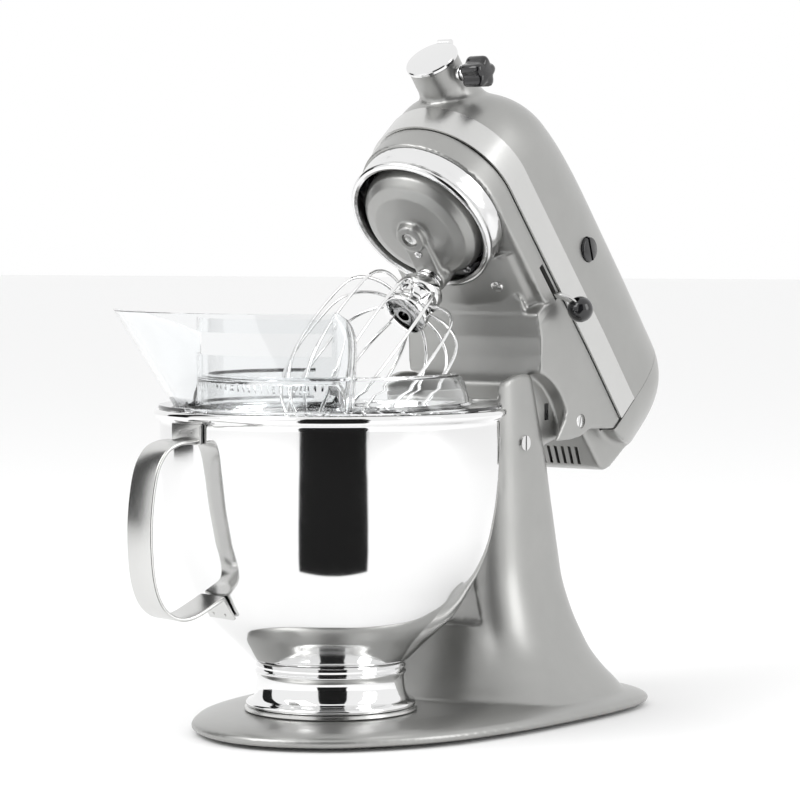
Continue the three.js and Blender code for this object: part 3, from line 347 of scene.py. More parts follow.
def rod(
    name: str,
    radius: float,
    low: float,
    high: float,
    axis: Axis,
    at: Pair,
    place: Matrix,
    end: float = 0.0,
    sides: int = 64,
) -> bpy.types.Object:
    """A round bar or cone.

    Args:
        name: the piece's name.
        radius: radius at the low end.
        low: where it starts along the axis.
        high: where it ends.
        axis: the direction.
        at: the centre in the two other directions, in x, y, z order.
        place: the matrix to the frame.
        end: radius at the high end, or 0 for the same.
        sides: steps round.

    Returns:
        The solid.
    """
    rings = []
    for depth, r in ((low, radius), (high, end or radius)):
        ring = []
        for i in range(sides):
            a, b = at[0] + r * math.cos(i / sides * TURN), at[1] + r * math.sin(i / sides * TURN)
            ring.append(laid(axis, a, b, depth))
        rings.append(ring)
    return loft(name, rings, place)


def curve_through(
    points: list[tuple[float, ...]], per: int, closed: bool = False
) -> list[tuple[float, ...]]:
    """A Catmull-Rom curve through points of any dimension.

    Args:
        points: the points to pass through.
        per: samples in each span.
        closed: whether the curve returns to its start.

    Returns:
        The sampled points.
    """
    n = len(points)
    out: list[tuple[float, ...]] = []
    for i in range(n if closed else n - 1):
        if closed:
            p = [points[(i + k) % n] for k in (-1, 0, 1, 2)]
        else:
            p = [points[min(max(i + k, 0), n - 1)] for k in (-1, 0, 1, 2)]
        for step in range(per):
            t = step / per
            row = []
            for a, b, c, d in zip(*p):
                square, cube = 2 * a - 5 * b + 4 * c - d, 3 * b - a - 3 * c + d
                row.append(0.5 * (2 * b + (c - a) * t + square * t**2 + cube * t**3))
            out.append(tuple(row))
    if not closed:
        out.append(tuple(points[-1]))
    return out


def swept(name: str, path: list[Point], section: list[Pair], place: Matrix, up: Vector) -> bpy.types.Object:
    """Sweeps a section along a path, keeping its first axis as near to a given direction as it can.

    Args:
        name: the piece's name.
        path: centre points.
        section: pairs across the path, first along the given direction.
        place: the matrix to the frame.
        up: the direction that the section's first axis leans to.

    Returns:
        The swept solid.
    """
    line = [Vector(p) for p in path]
    rings = []
    for i, here in enumerate(line):
        before = line[i - 1] if i else here
        after = line[i + 1] if i + 1 < len(line) else here
        along = (after - before).normalized()
        across = (up - along * up.dot(along)).normalized()
        other = along.cross(across)
        rings.append([tuple(here + across * a + other * b) for a, b in section])
    return loft(name, rings, place)


def rounded(half_a: float, half_b: float, r: float, steps: int = 4) -> list[Pair]:
    """A rectangle's outline with rounded corners.

    Args:
        half_a: half its first side.
        half_b: half its second side.
        r: the corners' radius.
        steps: points in each corner.

    Returns:
        The outline.
    """
    out = []
    for corner, (sa, sb) in enumerate(((1, 1), (-1, 1), (-1, -1), (1, -1))):
        for k in range(steps + 1):
            angle = (corner + k / steps) * math.pi / 2
            out.append((sa * (half_a - r) + r * math.cos(angle), sb * (half_b - r) + r * math.sin(angle)))
    return out


def circle(radius: float, sides: int) -> list[Pair]:
    """A round outline."""
    return [(radius * math.cos(i / sides * TURN), radius * math.sin(i / sides * TURN)) for i in range(sides)]


def applied(piece: bpy.types.Object) -> bpy.types.Object:
    """Turns a piece's modifiers into its mesh.

    Args:
        piece: the piece to work on.

    Returns:
        The same piece.
    """
    shown = piece.evaluated_get(bpy.context.evaluated_depsgraph_get())
    fresh = bpy.data.meshes.new_from_object(shown)
    piece.modifiers.clear()
    piece.data = fresh
    return piece


def combine(piece: bpy.types.Object, other: bpy.types.Object, how: Cut) -> bpy.types.Object:
    """Combines two solids and removes the second.

    Args:
        piece: the solid that is kept.
        other: the solid that it is combined with.
        how: the way.

    Returns:
        The combined piece.
    """
    step = piece.modifiers.new("combine", "BOOLEAN")
    step.operation = how.value
    step.solver = "MANIFOLD"
    step.object = other
    applied(piece)
    bpy.data.objects.remove(other)
    return piece


def join_all(first: bpy.types.Object, *others: bpy.types.Object) -> bpy.types.Object:
    """Joins several solids into the first.

    Args:
        first: the solid that is kept.
        others: the solids that it takes in.

    Returns:
        The first solid.
    """
    for other in others:
        combine(first, other, Cut.UNION)
    return first


def cut_all(first: bpy.types.Object, *others: bpy.types.Object) -> bpy.types.Object:
    """Takes several solids away from the first.

    Args:
        first: the solid that is kept.
        others: the solids that are cut out of it.

    Returns:
        The first solid.
    """
    for other in others:
        combine(first, other, Cut.DIFFERENCE)
    return first


def cast(piece: bpy.types.Object, grain: float, passes: int) -> bpy.types.Object:
    """Softens a solid's corners as a casting's are.

    Args:
        piece: the solid.
        grain: size of the mesh in millimetres.
        passes: smoothing steps, where more make rounder corners.

    Returns:
        The same piece with an even, smooth mesh.
    """
    remesh = piece.modifiers.new("even", "REMESH")
    remesh.mode = "VOXEL"
    remesh.voxel_size = grain * MM
    soften = piece.modifiers.new("soft", "SMOOTH")
    soften.factor = 0.5
    soften.iterations = passes
    return applied(piece)


def eased(piece: bpy.types.Object, width: float, segments: int = 3) -> bpy.types.Object:
    """Rounds a solid's sharp edges.

    Args:
        piece: the solid.
        width: the rounding in millimetres.
        segments: facets across each rounded edge.

    Returns:
        The same piece.
    """
    bevel = piece.modifiers.new("ease", "BEVEL")
    bevel.width = width * MM
    bevel.segments = segments
    bevel.limit_method = "ANGLE"
    bevel.angle_limit = math.radians(40)
    return applied(piece)


def dress(piece: bpy.types.Object, look: Look, body: str, *nodes: str, sharp: float = 35) -> None:
    """Finishes a piece and puts it on its body.

    Args:
        piece: the piece.
        look: its finish.
        body: the body that it rides on.
        nodes: CAD nodes that it stands for.
        sharp: the angle above which an edge stays crisp, in degrees.
    """
    mesh = piece.data
    mesh.materials.clear()
    mesh.materials.append(look.value.make())
    mesh.shade_smooth()
    mesh.set_sharp_from_angle(angle=math.radians(sharp))
    if nodes:
        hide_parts(*nodes)
    look.slot
    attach(piece, body)
    LOG.info("%s: %d faces on %s", piece.name, len(mesh.polygons), body)


# ---------------------------------------------------------------- base
@dataclass
class Base:
    """The cast base and pedestal, and the clamp plate. Millimetres about the bowl's axis."""

    half_width: float = 111.0
    front: float = 91.0
    rear: float = 249.0
    cheek_half: float = 51.0
    cheek_wall: float = 6.2
    cheek_r: float = 45.2
    column_front: float = 107.5
    web_top: float = 208.0
    web_inner: float = 119.0
    bowl_room: float = 113.6
    pin_seat: float = 5.8
    grain: float = 1.5
    # x as a share of the half width, y as a share of the front or rear length
    outline: tuple[Pair, ...] = (
        (0, -1), (0.27, -0.93), (0.545, -0.71), (0.765, -0.34), (0.885, 0), (0.95, 0.14), (0.99, 0.3),
        (1, 0.48), (0.992, 0.64), (0.95, 0.785), (0.85, 0.893), (0.63, 0.964), (0.31, 0.993), (0, 1),
    )
    # inset and height of the slab's rounded edge
    slab: tuple[Pair, ...] = (
        (2.2, 2.5), (0.7, 3.4), (0, 5), (0.3, 6.8), (1.6, 8.2), (4.4, 9.6), (9, 11), (15, 12.2), (22, 13.2),
        (30, 14), (40, 14.3),
    )
    # height, half width, front and rear of the pedestal
    column: tuple[tuple[float, float, float, float], ...] = (
        (3.5, 107, 4, 242), (8, 101, 40, 236), (13, 97.5, 60, 231), (19, 92, 69, 227), (27, 84, 78, 221),
        (38, 75, 88, 215), (50, 68, 96, 211), (64, 61.5, 101, 207), (84, 55.5, 104.5, 202.5),
        (104, 53.2, 106.5, 199), (135, 51.8, 107.5, 192), (165, 51, 107.5, 185), (195, 51, 107.5, 174),
        (226, 51, 107.5, 163),
    )
    plate: tuple[Pair, ...] = ((0, 14.6), (54, 14.6), (54.6, 15.2), (54.4, 16.6), (53.4, 17.2), (0, 17.2))

    def ring(self, inset: float, z: float) -> Ring:
        """The base's outline drawn in by an inset.

        Args:
            inset: how far it is drawn in.
            z: its height.

        Returns:
            The outline.
        """
        right = [(x * self.half_width, y * (self.front if y < 0 else self.rear)) for x, y in self.outline]
        loop = curve_through(right + [(-x, y) for x, y in reversed(right[1:-1])], 8, True)
        middle = (self.rear - self.front) / 2
        fx, fy = 1 - inset / self.half_width, 1 - inset / ((self.rear + self.front) / 2)
        return [(x * fx, middle + (y - middle) * fy, z) for x, y in loop]

    def column_ring(self, z: float, half: float, front: float, rear: float) -> Ring:
        """The pedestal's rounded outline.

        Args:
            z: its height.
            half: half its width.
            front: y of its front.
            rear: y of its rear.

        Returns:
            The outline.
        """
        ring = []
        for i in range(96):
            c, s = math.cos(i / 96 * TURN), math.sin(i / 96 * TURN)
            x = math.copysign(abs(c) ** (2 / 3), c) * half
            y = (rear + front) / 2 + math.copysign(abs(s) ** (2 / 3), s) * (rear - front) / 2
            ring.append((x, y, z))
        return ring

    def casting(self) -> bpy.types.Object:
        """Builds the base and pedestal as one casting.

        Returns:
            The solid.
        """
        place = PLACES.bowl
        slab = loft("base_shell", [self.ring(inset, z) for inset, z in self.slab], place)
        rows = curve_through(list(self.column), 6)
        column = loft("column", [self.column_ring(*row) for row in rows], place)
        pin_y, pin_z = self.pin()
        sweep = [math.pi * (1 - i / 48) for i in range(49)]
        arc = [(pin_y + self.cheek_r * math.cos(a), pin_z + self.cheek_r * math.sin(a)) for a in sweep]
        low = self.column_front - 2
        far, near = self.rear + 20, -111
        crown = [(low, pin_z)] + [p for p in arc if p[0] > low]
        crown += [(pin_y + self.cheek_r, pin_z - 1), (far, pin_z - 1), (far, -5), (near, -5), (near, pin_z)]
        combine(column, prism("crown", crown, -130, 130, Axis.X, place), Cut.INTERSECT)
        inner = self.cheek_half - self.cheek_wall
        slot = [
            (self.web_inner, 150), (self.web_inner, self.web_top), (102, self.web_top), (102, 260),
            (self.rear, 260), (self.rear, 133), (176, 133), (165, 128), (130, 128),
        ]
        join_all(slab, column)
        relief = rod("relief", self.bowl_room, 60, 235, Axis.Z, (0, 0), place, sides=160)
        combine(relief, block("band", (-60, 80, 60), (60, 125, 235), place), Cut.INTERSECT)
        pin_seats = rod("seat", self.pin_seat, -60, 60, Axis.X, (pin_y, pin_z), place)
        deep = self.cheek_half - 0.8
        cut_all(pin_seats, block("mid", (-deep, 0, 0), (deep, 300, 400), place))
        cut_all(slab, prism("slot", slot, -inner, inner, Axis.X, place), relief, pin_seats)
        return cast(slab, self.grain, 7)

    @staticmethod
    def pin() -> Pair:
        """The hinge pin's y and z in millimetres about the bowl's axis."""
        return (PLACES.pin[1] - PLACES.bowl_y) / MM, PLACES.pin[2] / MM

    def build(self) -> None:
        """Builds and dresses the base."""
        dress(self.casting(), Look.PAINT, "base", "base_casting", sharp=60)
        plate = lathe("clamp_plate", list(self.plate), PLACES.bowl, 128)
        dress(plate, Look.BRUSHED, "base", "bowl_clamp_plate")


# ---------------------------------------------------------------- bowl
@dataclass
class Bowl:
    """The polished bowl, its pressed foot and strap handle. Millimetres about the bowl's axis."""

    wall: tuple[Pair, ...] = (
        (49.5, 47), (60, 57.5), (69.5, 66), (77, 73.5), (83, 82), (88, 91), (93, 100.5), (97, 110),
        (100, 119), (102, 127.6), (104.8, 145), (106.5, 165), (107, 180), (107.2, 197.5),
    )
    rim: tuple[Pair, ...] = (
        (108.4, 199.0), (110, 200), (110.9, 201.6), (111, 202.9), (110.2, 204.3), (108.9, 205),
        (107.4, 204.8), (106.4, 203.6),
    )
    steel: float = 1.5
    foot: tuple[Pair, ...] = (
        (0, 20), (45, 20), (47.5, 18.2), (52.6, 17.7), (53.4, 18.2), (53.6, 19.4), (53, 20.6), (50.2, 21.6),
        (48.7, 23), (47.3, 26), (46.6, 30), (46.3, 34), (46.5, 37.4), (47.6, 38.4), (47.8, 39.6),
        (46.8, 40.4), (46.2, 41.4), (47.4, 42.2), (47.5, 43.4), (46.6, 44.2), (47.6, 45.4), (48.4, 46.4),
        (0, 46.4),
    )
    handle_degrees: float = -105.1
    strap_half: float = 13.0
    strap: tuple[Pair, ...] = (
        (109.4, 187.2), (114.8, 187.6), (121, 187), (128.6, 184), (134, 178), (137.6, 170), (140.2, 158),
        (141.8, 144), (142.2, 132), (141.8, 120), (140.4, 106.5), (137.4, 95.5), (132.4, 87), (125, 81.8),
        (117, 80.4), (109, 82), (99, 86.6), (89.4, 91.4),
    )
    weld_r: float = 1.3
    weld_gap: float = 6.3
    low_plate: Point = (86.1, 0, 84.8)
    low_lean: float = 0.54

    def shell(self) -> bpy.types.Object:
        """Builds the bowl itself.

        Returns:
            The solid.
        """
        outside = curve_through(list(self.wall), 6)
        inside = [(r - self.steel, max(z + 0.4, 48.6)) for r, z in reversed(outside)]
        profile = [(0, 46.9), *outside, *self.rim, *inside, (0, 48.6)]
        return lathe("mixing_bowl", profile, PLACES.bowl, 192)

    def handle(self) -> bpy.types.Object:
        """Builds the strap handle with its two welded plates and their weld dots.

        Returns:
            The solid.
        """
        turn = PLACES.bowl @ Matrix.Rotation(math.radians(self.handle_degrees), 4, "Z")
        path = [(r, 0, z) for r, z in curve_through(list(self.strap), 6)]
        made = swept("strap_handle", path, rounded(self.strap_half, 1.2, 0.9), turn, Vector((0, 1, 0)))
        plate = eased(block("plate", (107.0, -15.5, 186.2), (109.2, 15.5, 198.4), turn), 0.5)
        low = turn @ Matrix.Translation(self.low_plate) @ Matrix.Rotation(self.low_lean, 4, "Y")
        tab = eased(block("tab", (-1.2, -13, -8), (1.2, 13, 8), low), 0.5)
        dots = []
        for y in (-self.weld_gap, self.weld_gap):
            dots.append(rod("weld", self.weld_r, 108.7, 109.6, Axis.X, (y, 193.2), turn, 0.8, 16))
            dots.append(rod("weld", self.weld_r, 0.7, 1.6, Axis.X, (y, -4.5), low, 0.8, 16))
        join_all(made, plate, tab, *dots)
        wall = [(0, 40), (49.8, 46.7), *[(r + 0.05, z) for r, z in self.wall], (107.3, 199), (0, 199)]
        return combine(made, lathe("room", wall, PLACES.bowl, 192), Cut.DIFFERENCE)

    def build(self) -> None:
        """Builds and dresses the bowl's pieces."""
        dress(self.shell(), Look.STEEL, "bowl", "bowl_shell", sharp=50)
        foot = lathe("bowl_base_ring", list(self.foot), PLACES.bowl, 160)
        dress(foot, Look.STEEL, "bowl", "bowl_foot", sharp=50)
        dress(self.handle(), Look.BRUSHED, "bowl", "bowl_handle", sharp=40)


# ---------------------------------------------------------------- pouring shield
@dataclass
class Shield:
    """The clear pouring shield with its chute. Millimetres about the bowl's axis."""

    low: float = 205.3
    wall: float = 2.0
    opening: float = 76.6
    chute_from: float = -147.0
    chute_to: float = -50.0
    chute_in: float = 84.0
    # share of the way along the chute, and the radius or height there
    lip: tuple[Pair, ...] = ((0, 137), (0.25, 134.5), (0.5, 129.5), (0.72, 121), (0.88, 112), (1, 107.5))
    lip_z: tuple[Pair, ...] = ((0, 267), (0.3, 266.6), (0.6, 266), (1, 265.6))
    foot: tuple[Pair, ...] = ((0, 96.5), (0.4, 101), (1, 103))
    dome: tuple[Pair, ...] = (
        (76.6, 225.0), (80, 224.2), (82.4, 221.5), (84.2, 216), (85.4, 210.4), (85.8, 207.2), (86.5, 205.3),
        (108, 205.3), (108.2, 206.3), (107.6, 207.3), (88.8, 207.3), (87.4, 209), (86.8, 212.6), (85.2, 219),
        (83.4, 223.4), (80.6, 226.2), (76.6, 227),
    )

    @staticmethod
    def along(table: tuple[Pair, ...], t: float) -> float:
        """The value of a piecewise-linear table.

        Args:
            table: shares of the way and the value at each.
            t: the share to look up.

        Returns:
            The value at that share.
        """
        for (a, v), (b, w) in zip(table, table[1:]):
            if t <= b:
                return v + (w - v) * (t - a) / (b - a)
        return table[-1][1]

    @staticmethod
    def at(r: float, degrees: float, z: float) -> Point:
        """A point from its radius, direction and height."""
        return r * math.cos(math.radians(degrees)), r * math.sin(math.radians(degrees)), z

    def ring(self) -> bpy.types.Object:
        """Builds the domed ring, open at the rear.

        Returns:
            The solid.
        """
        end = math.degrees(math.acos(self.opening / 108.2))
        first, last = end - 1, -180 - end + 1
        rings = [[self.at(r, first + (last - first) * i / 150, z) for r, z in self.dome] for i in range(151)]
        return loft("shield_moulding", rings, PLACES.bowl)

    def sheet(self, name: str, rows: list[tuple[float, float, float, float, float]]) -> bpy.types.Object:
        """A curved wall.

        Args:
            name: the piece's name.
            rows: direction, bottom radius, bottom height, top radius and top height.

        Returns:
            The wall as a closed solid, thick towards the axis.
        """
        rings = []
        for degrees, r0, z0, r1, z1 in rows:
            outer = [(r0 + (r1 - r0) * k / 6, z0 + (z1 - z0) * k / 6) for k in range(7)]
            both = outer + [(r - self.wall, z) for r, z in reversed(outer)]
            rings.append([self.at(r, degrees, z) for r, z in both])
        return loft(name, rings, PLACES.bowl)

    def side(self, degrees: float, foot: float, top: float, flat: float, thick: float) -> bpy.types.Object:
        """A radial end wall of the chute, with its inner edge running down to the opening.

        Args:
            degrees: the wall's direction.
            foot: radius of its outer edge at the foot.
            top: radius of its outer edge at the top.
            flat: radius at which its top edge starts to fall.
            thick: its thickness.

        Returns:
            The wall.
        """
        turn = PLACES.bowl @ Matrix.Rotation(math.radians(degrees - 90), 4, "Z")
        inner, floor = self.chute_in - self.wall, self.low + 0.4
        edge = [(inner, floor), (foot, floor), (top - 1, 266.4), (flat, 265.4), (inner, 252)]
        return eased(prism("side", edge, -thick / 2, thick / 2, Axis.X, turn), 0.5, 2)

    def round_end(self) -> bpy.types.Object:
        """The chute's far end, turned round from its outer wall to its inner wall.

        Returns:
            The wall.
        """
        turn = PLACES.bowl @ Matrix.Rotation(math.radians(self.chute_to), 4, "Z")
        rings = []
        for k in range(15):
            t = k / 14
            low_r, high_r = self.foot[-1][1], self.lip[-1][1]
            out, inner = low_r + (high_r - low_r) * t, self.chute_in - self.wall
            middle, half = (out + inner) / 2, (out - inner) / 2
            reach = 1.25 * math.sqrt(max(0.04, 1 - max(0.0, (t - 0.62) / 0.39) ** 2))
            ring = []
            for radius, way in ((half, 1), (half - self.wall, -1)):
                for i in range(17):
                    a = way * (i / 16 - 0.5) * math.pi
                    across = radius * math.cos(a) * reach - 1
                    ring.append((middle + radius * math.sin(a), across, self.low + 0.4 + 60.4 * t))
            rings.append(ring)
        return loft("round_end", rings, turn)

    def moulding(self) -> bpy.types.Object:
        """Builds the whole shield as one clear moulding.

        Returns:
            The solid.
        """
        steps = [i / 32 for i in range(33)]
        span = self.chute_to - self.chute_from
        way = [(t, self.chute_from + span * t) for t in steps]
        low, walls = self.low + 0.2, []
        for t, degrees in way:
            lip, lip_z = self.along(self.lip, t), self.along(self.lip_z, t)
            walls.append((degrees, self.along(self.foot, t), low, lip, lip_z))
        outer = self.sheet("outer", walls)
        inner = self.sheet("inner", [(d, self.chute_in, self.low + 3, self.chute_in, 239.5) for _, d in way])
        bridge = self.sheet("bridge", [(d, self.chute_in, 253.5, self.chute_in, 262) for _, d in way])
        rings = []
        for t in steps:
            degrees = self.chute_from + span * t + 2 * (0.5 - t) * 1.6
            far = self.along(self.foot, t) - self.wall
            hole = ((self.chute_in, 201), (far, 201), (far, 232), (self.chute_in, 232))
            rings.append([self.at(r, degrees, z) for r, z in hole])
        mouth = loft("mouth", rings, PLACES.bowl)
        left = self.side(self.chute_from + 0.8, 95.6, 136, 118, 2.4)
        right = self.round_end()
        made = cut_all(self.ring(), mouth)
        return join_all(made, outer, inner, bridge, left, right)

    def build(self) -> None:
        """Builds and dresses the shield."""
        dress(self.moulding(), Look.CLEAR, "shield", "pouring_shield", sharp=30)


# ---------------------------------------------------------------- head
@dataclass
class Head:
    """The tilting head's shells.

    Millimetres on the level head: x, minus the distance in front of the pin, and the height above it.
    """

    half_width: float = 57.0
    nose_a: float = 139.7
    nose_r: float = 53.8
    rear: float = 109.0
    seam: float = 58.0
    waist: float = 114.0
    trim_low: float = 87.5
    trim_high: float = 108.5
    hub_u: float = 132.0
    hub_r: float = 17.0
    hub_front: float = 213.5
    top: tuple[Pair, ...] = (
        (-109, 136), (-108, 146), (-105, 156), (-100, 164), (-92, 171.5), (-80, 177.5), (-62, 180.8),
        (-40, 181.2), (60, 181.2), (82, 181), (100, 180), (122, 177), (145, 170.5), (163, 161.5), (176, 150),
        (186, 136), (191, 124), (193.6, 110),
    )
    swell: float = 2.1  # exponent of the rear end's rounding
    crown_power: float = 2.6  # exponent of the upper section's rounding
    vents: int = 12
    vent_pitch: float = 5.7
    recess_r: float = 46.8
    neck_half: float = 44.0
    neck_r: float = 20.5
    vent_box: tuple[Pair, ...] = (
        (44, 60.5), (78, 61.2), (83.5, 64), (86.8, 71), (90, 100), (90, 128), (40, 128), (40, 64),
    )
    belly: tuple[Pair, ...] = (
        (-56.6, 95), (-56.4, 84), (-54.6, 78.5), (-51, 73), (-45.5, 67.4), (-38, 64.2), (-28, 62.4),
        (0, 61.6),
    )
    panel: tuple[Pair, ...] = (
        (-80, 66), (-72, 61.6), (-58, 58.6), (-46, 53), (-35, 45), (-26.5, 37.6), (-20.4, 33.6), (-20, 20),
        (-14, 8), (14, 8), (19, 22), (30, 36), (36, 46), (40, 58.5),
    )
    neck: tuple[Pair, ...] = (
        (-72, 64), (-60, 59.8), (-47, 54), (-36, 46.4), (-26.5, 38), (-20.6, 33.6), (-20.5, 0), (20.5, 0),
        (24, 24), (36, 50), (36, 66),
    )
    taper: tuple[Pair, ...] = (
        (-56.4, 95), (-56.4, 80), (-54.5, 40), (-53, 0), (53, 0), (54.5, 40), (56.4, 80), (56.4, 95),
    )
    ring_face: tuple[Pair, ...] = (
        (50, 52.6), (51.2, 54.2), (50.6, 56.6), (49.8, 58.4), (50.1, 61), (50.9, 65), (51.4, 70.2),
    )
    ring_back: tuple[Pair, ...] = ((47.4, 70.2), (46.6, 62), (46.2, 56), (46.6, 53.4), (48.2, 52.2))

    def width(self, a: float) -> float:
        """Half width of the head's plan.

        Args:
            a: distance in front of the pin.

        Returns:
            The half width there.
        """
        if a > self.nose_a:
            return math.sqrt(max(0.0, self.nose_r**2 - (a - self.nose_a) ** 2))
        if a >= -self.seam:
            return self.half_width + (self.nose_r - self.half_width) * max(0.0, a / self.nose_a)
        t = min(1.0, (-self.seam - a) / (self.rear - self.seam))
        return self.half_width * (1 - t**self.swell) ** (1 / self.swell)

    def plan(self, offset: float, rear: float, arc: int = 40) -> list[Pair]:
        """The head's plan outline from a rear limit round the nose.

        Args:
            offset: how far it is widened.
            rear: the rear limit, as a distance in front of the pin.
            arc: steps in each quarter of the nose.

        Returns:
            The outline.
        """
        right = []
        for i in range(17):
            a = rear + (self.nose_a - rear) * i / 16
            right.append((self.width(a) + offset, -a))
        for i in range(1, arc + 1):
            angle = i / arc * math.pi / 2
            r = self.nose_r + offset
            right.append((r * math.cos(angle), -self.nose_a - r * math.sin(angle)))
        return right + [(-x, y) for x, y in reversed(right[:-1])]

    def section(self, a: float, floor: float, crown: float) -> Ring:
        """The head's outline across.

        Args:
            a: distance in front of the pin.
            floor: height of the section's floor.
            crown: height of its top.

        Returns:
            The outline.
        """
        width = max(self.width(a), 0.5)
        height = max(crown - self.waist, 0.5)
        ring: Ring = []
        for i in range(57):
            c, s = math.cos(i / 56 * math.pi), math.sin(i / 56 * math.pi)
            power = 2 / self.crown_power
            x = math.copysign(abs(c) ** power, c) * width
            ring.append((x, -a, self.waist + max(s, 0) ** power * height))
        ring += [(-width, -a, floor), (width, -a, floor)]
        return ring

    def shell(self, name: str, spots: list[float], floors: list[float]) -> bpy.types.Object:
        """Lofts sections of the head.

        Args:
            name: the piece's name.
            spots: distances in front of the pin.
            floors: height of the shell's floor at each.

        Returns:
            The solid.
        """
        line = curve_through(list(self.top), 6)
        rings = []
        for a, floor in zip(spots, floors):
            crown = line[-1][1]
            for (a0, z0), (a1, z1) in zip(line, line[1:]):
                if a0 <= a <= a1:
                    crown = z0 + (z1 - z0) * (a - a0) / (a1 - a0)
                    break
            rings.append(self.section(a, floor, crown))
        return loft(name, rings, PLACES.head)

    def upper(self) -> bpy.types.Object:
        """Builds the upper housing with its attachment hub.

        Returns:
            The solid.
        """
        spots = [-self.seam - 8 + i * 8 for i in range(21)] + [104 + i * 4 for i in range(18)]
        spots += [175, 178, 181, 184, 186.5, 188.5, 190, 191.4, 192.4, 193.1]
        made = self.shell("upper_housing", spots, [95.0] * len(spots))
        axis = (0, self.hub_u)
        hub = rod("hub", self.hub_r, -self.hub_front, -150, Axis.Y, axis, PLACES.head, sides=96)
        flare = rod("flare", self.hub_r, -196, -168, Axis.Y, axis, PLACES.head, self.hub_r + 9, 96)
        join_all(made, hub, flare)
        cast(made, 1.4, 9)
        rim = rod("rim", self.hub_r, -self.hub_front, -202, Axis.Y, axis, PLACES.head, sides=96)
        keep = block("keep", (-80, -240, self.trim_high + GAP), (80, self.seam, 260), PLACES.head)
        combine(made, keep, Cut.INTERSECT)
        join_all(made, rim)
        bore = rod("bore", 11.5, -self.hub_front - 5, -160, Axis.Y, axis, PLACES.head)
        caps = [
            rod("cap_seat", 8.8, side * 52, side * 64, Axis.X, (-56, self.hub_u), PLACES.head)
            for side in (1, -1)
        ]
        return cut_all(made, bore, *caps)

    def cover(self) -> bpy.types.Object:
        """Builds the rear cover with its vented box.

        Returns:
            The solid.
        """
        spots = [-self.seam + 8 - i * 5 for i in range(8)] + [-88 - i * 3 for i in range(6)]
        spots += [-105.4, -107, -108.2, -108.9]
        floors = []
        for a in spots:
            t = min(1.0, max(0.0, (-self.seam - a) / (self.rear - self.seam)))
            floors.append(min(78 + 46 * t**1.7, self.waist - 1))
        made = self.shell("rear_shell", spots, floors)
        join_all(made, prism("vent_box", list(self.vent_box), -45, 45, Axis.X, PLACES.head))
        cast(made, 1.3, 8)
        keep = [(self.seam + 0.2, 76.5), (self.seam + 0.2, 220), (140, 220), (140, 40), (43, 40), (43, 76.5)]
        combine(made, prism("keep", keep, -80, 80, Axis.X, PLACES.head), Cut.INTERSECT)
        slots = []
        for i in range(self.vents):
            spot = Matrix.Translation((-31.4 + self.vent_pitch * i, 67.5, 0))
            lean = PLACES.head @ spot @ Matrix.Rotation(0.25, 4, "Z")
            slots.append(block("slot", (-1.15, -8.5, 50), (1.15, 8.5, 66), lean))
        return cut_all(made, *slots)

    def lower(self) -> bpy.types.Object:
        """Builds the lower casing: the nose skirt, the belly, the neck and the hinge recesses.

        Returns:
            The casing.
        """
        place = PLACES.head
        top = self.trim_low - GAP
        skirt = prism("lower_shell", self.plan(-0.6, 10), 70.6, 95, Axis.Z, place)
        belly = list(self.belly) + [(-x, z) for x, z in reversed(self.belly[:-1])]
        front = prism("belly", belly, -104, 30, Axis.Y, place)
        panel = list(self.panel) + [(self.seam - GAP, 79), (self.seam - GAP, 95), (-80, 95)]
        rear = prism("rear_panel", panel, -56.4, 56.4, Axis.X, place)
        combine(rear, prism("taper", list(self.taper), -60, 60, Axis.Y, place), Cut.INTERSECT)
        neck = prism("neck", list(self.neck), -self.neck_half, self.neck_half, Axis.X, place)
        barrel = rod("barrel", self.neck_r, -self.neck_half, self.neck_half, Axis.X, (0, 0), place, sides=96)
        join_all(skirt, front, rear, neck, barrel)
        cut_all(skirt, *self.recesses())
        cast(skirt, 1.3, 5)
        fence = self.plan(-0.6, -self.seam + GAP)
        combine(skirt, prism("fence", fence, -60, top, Axis.Z, place), Cut.INTERSECT)
        pocket = rod("pocket", 50.0, 50, 84, Axis.Z, (0, -self.nose_a), place, sides=128)
        pin_bore = rod("pin_bore", 5.4, -60, 60, Axis.X, (0, 0), place)
        dimples = [
            rod("dimple", 4.9, low, high, Axis.X, (28, 53), place) for low, high in ((54.5, 64), (-64, -54.5))
        ]
        return cut_all(skirt, pocket, pin_bore, *self.lever_slots(), *dimples)

    def recesses(self) -> list[bpy.types.Object]:
        """The room that the pedestal's cheeks take beside the neck.

        Returns:
            The solids to cut away.
        """
        r, inner, place = self.recess_r, self.neck_half + 0.1, PLACES.head
        arc = [(-r * math.cos(math.radians(d)), r * math.sin(math.radians(d))) for d in range(-55, 106, 4)]
        arc += [(16, 38), (21, 22), (27, -10), (40, -60)]
        made = [prism("recess", arc, *span, Axis.X, place) for span in ((inner, 60), (-60, -inner))]
        rooms = ((inner, 51.8), (-51.8, -inner))
        return made + [rod("room", r, *span, Axis.X, (0, 0), place, sides=120) for span in rooms]

    def dark_trim(self) -> None:
        """Builds and dresses the dark ridge behind the band, and a flat black patch on the right recess's wall
        that is painted shade standing for the dark inside of a slot there.
        """
        place = PLACES.head
        plan = self.plan(-2.6, -self.seam + GAP)
        ridge = prism("ridge", plan, self.trim_low - GAP - 1, self.trim_high, Axis.Z, place)
        cut_all(ridge, *self.lever_slots())
        dress(eased(ridge, 0.3, 1), Look.BLACK, "head")
        # painted shade: a thin flat black patch on the recess wall stands in for the shadowed inside of a slot; no
        # slot is cut
        mark = place @ Matrix.Translation((44.1, 6.8, 38.3)) @ Matrix.Rotation(PLACES.tilt, 4, "X")
        dress(block("painted_slot_shade", (-0.6, -2, -5.5), (0.35, 2, 5.5), mark), Look.BLACK, "head")

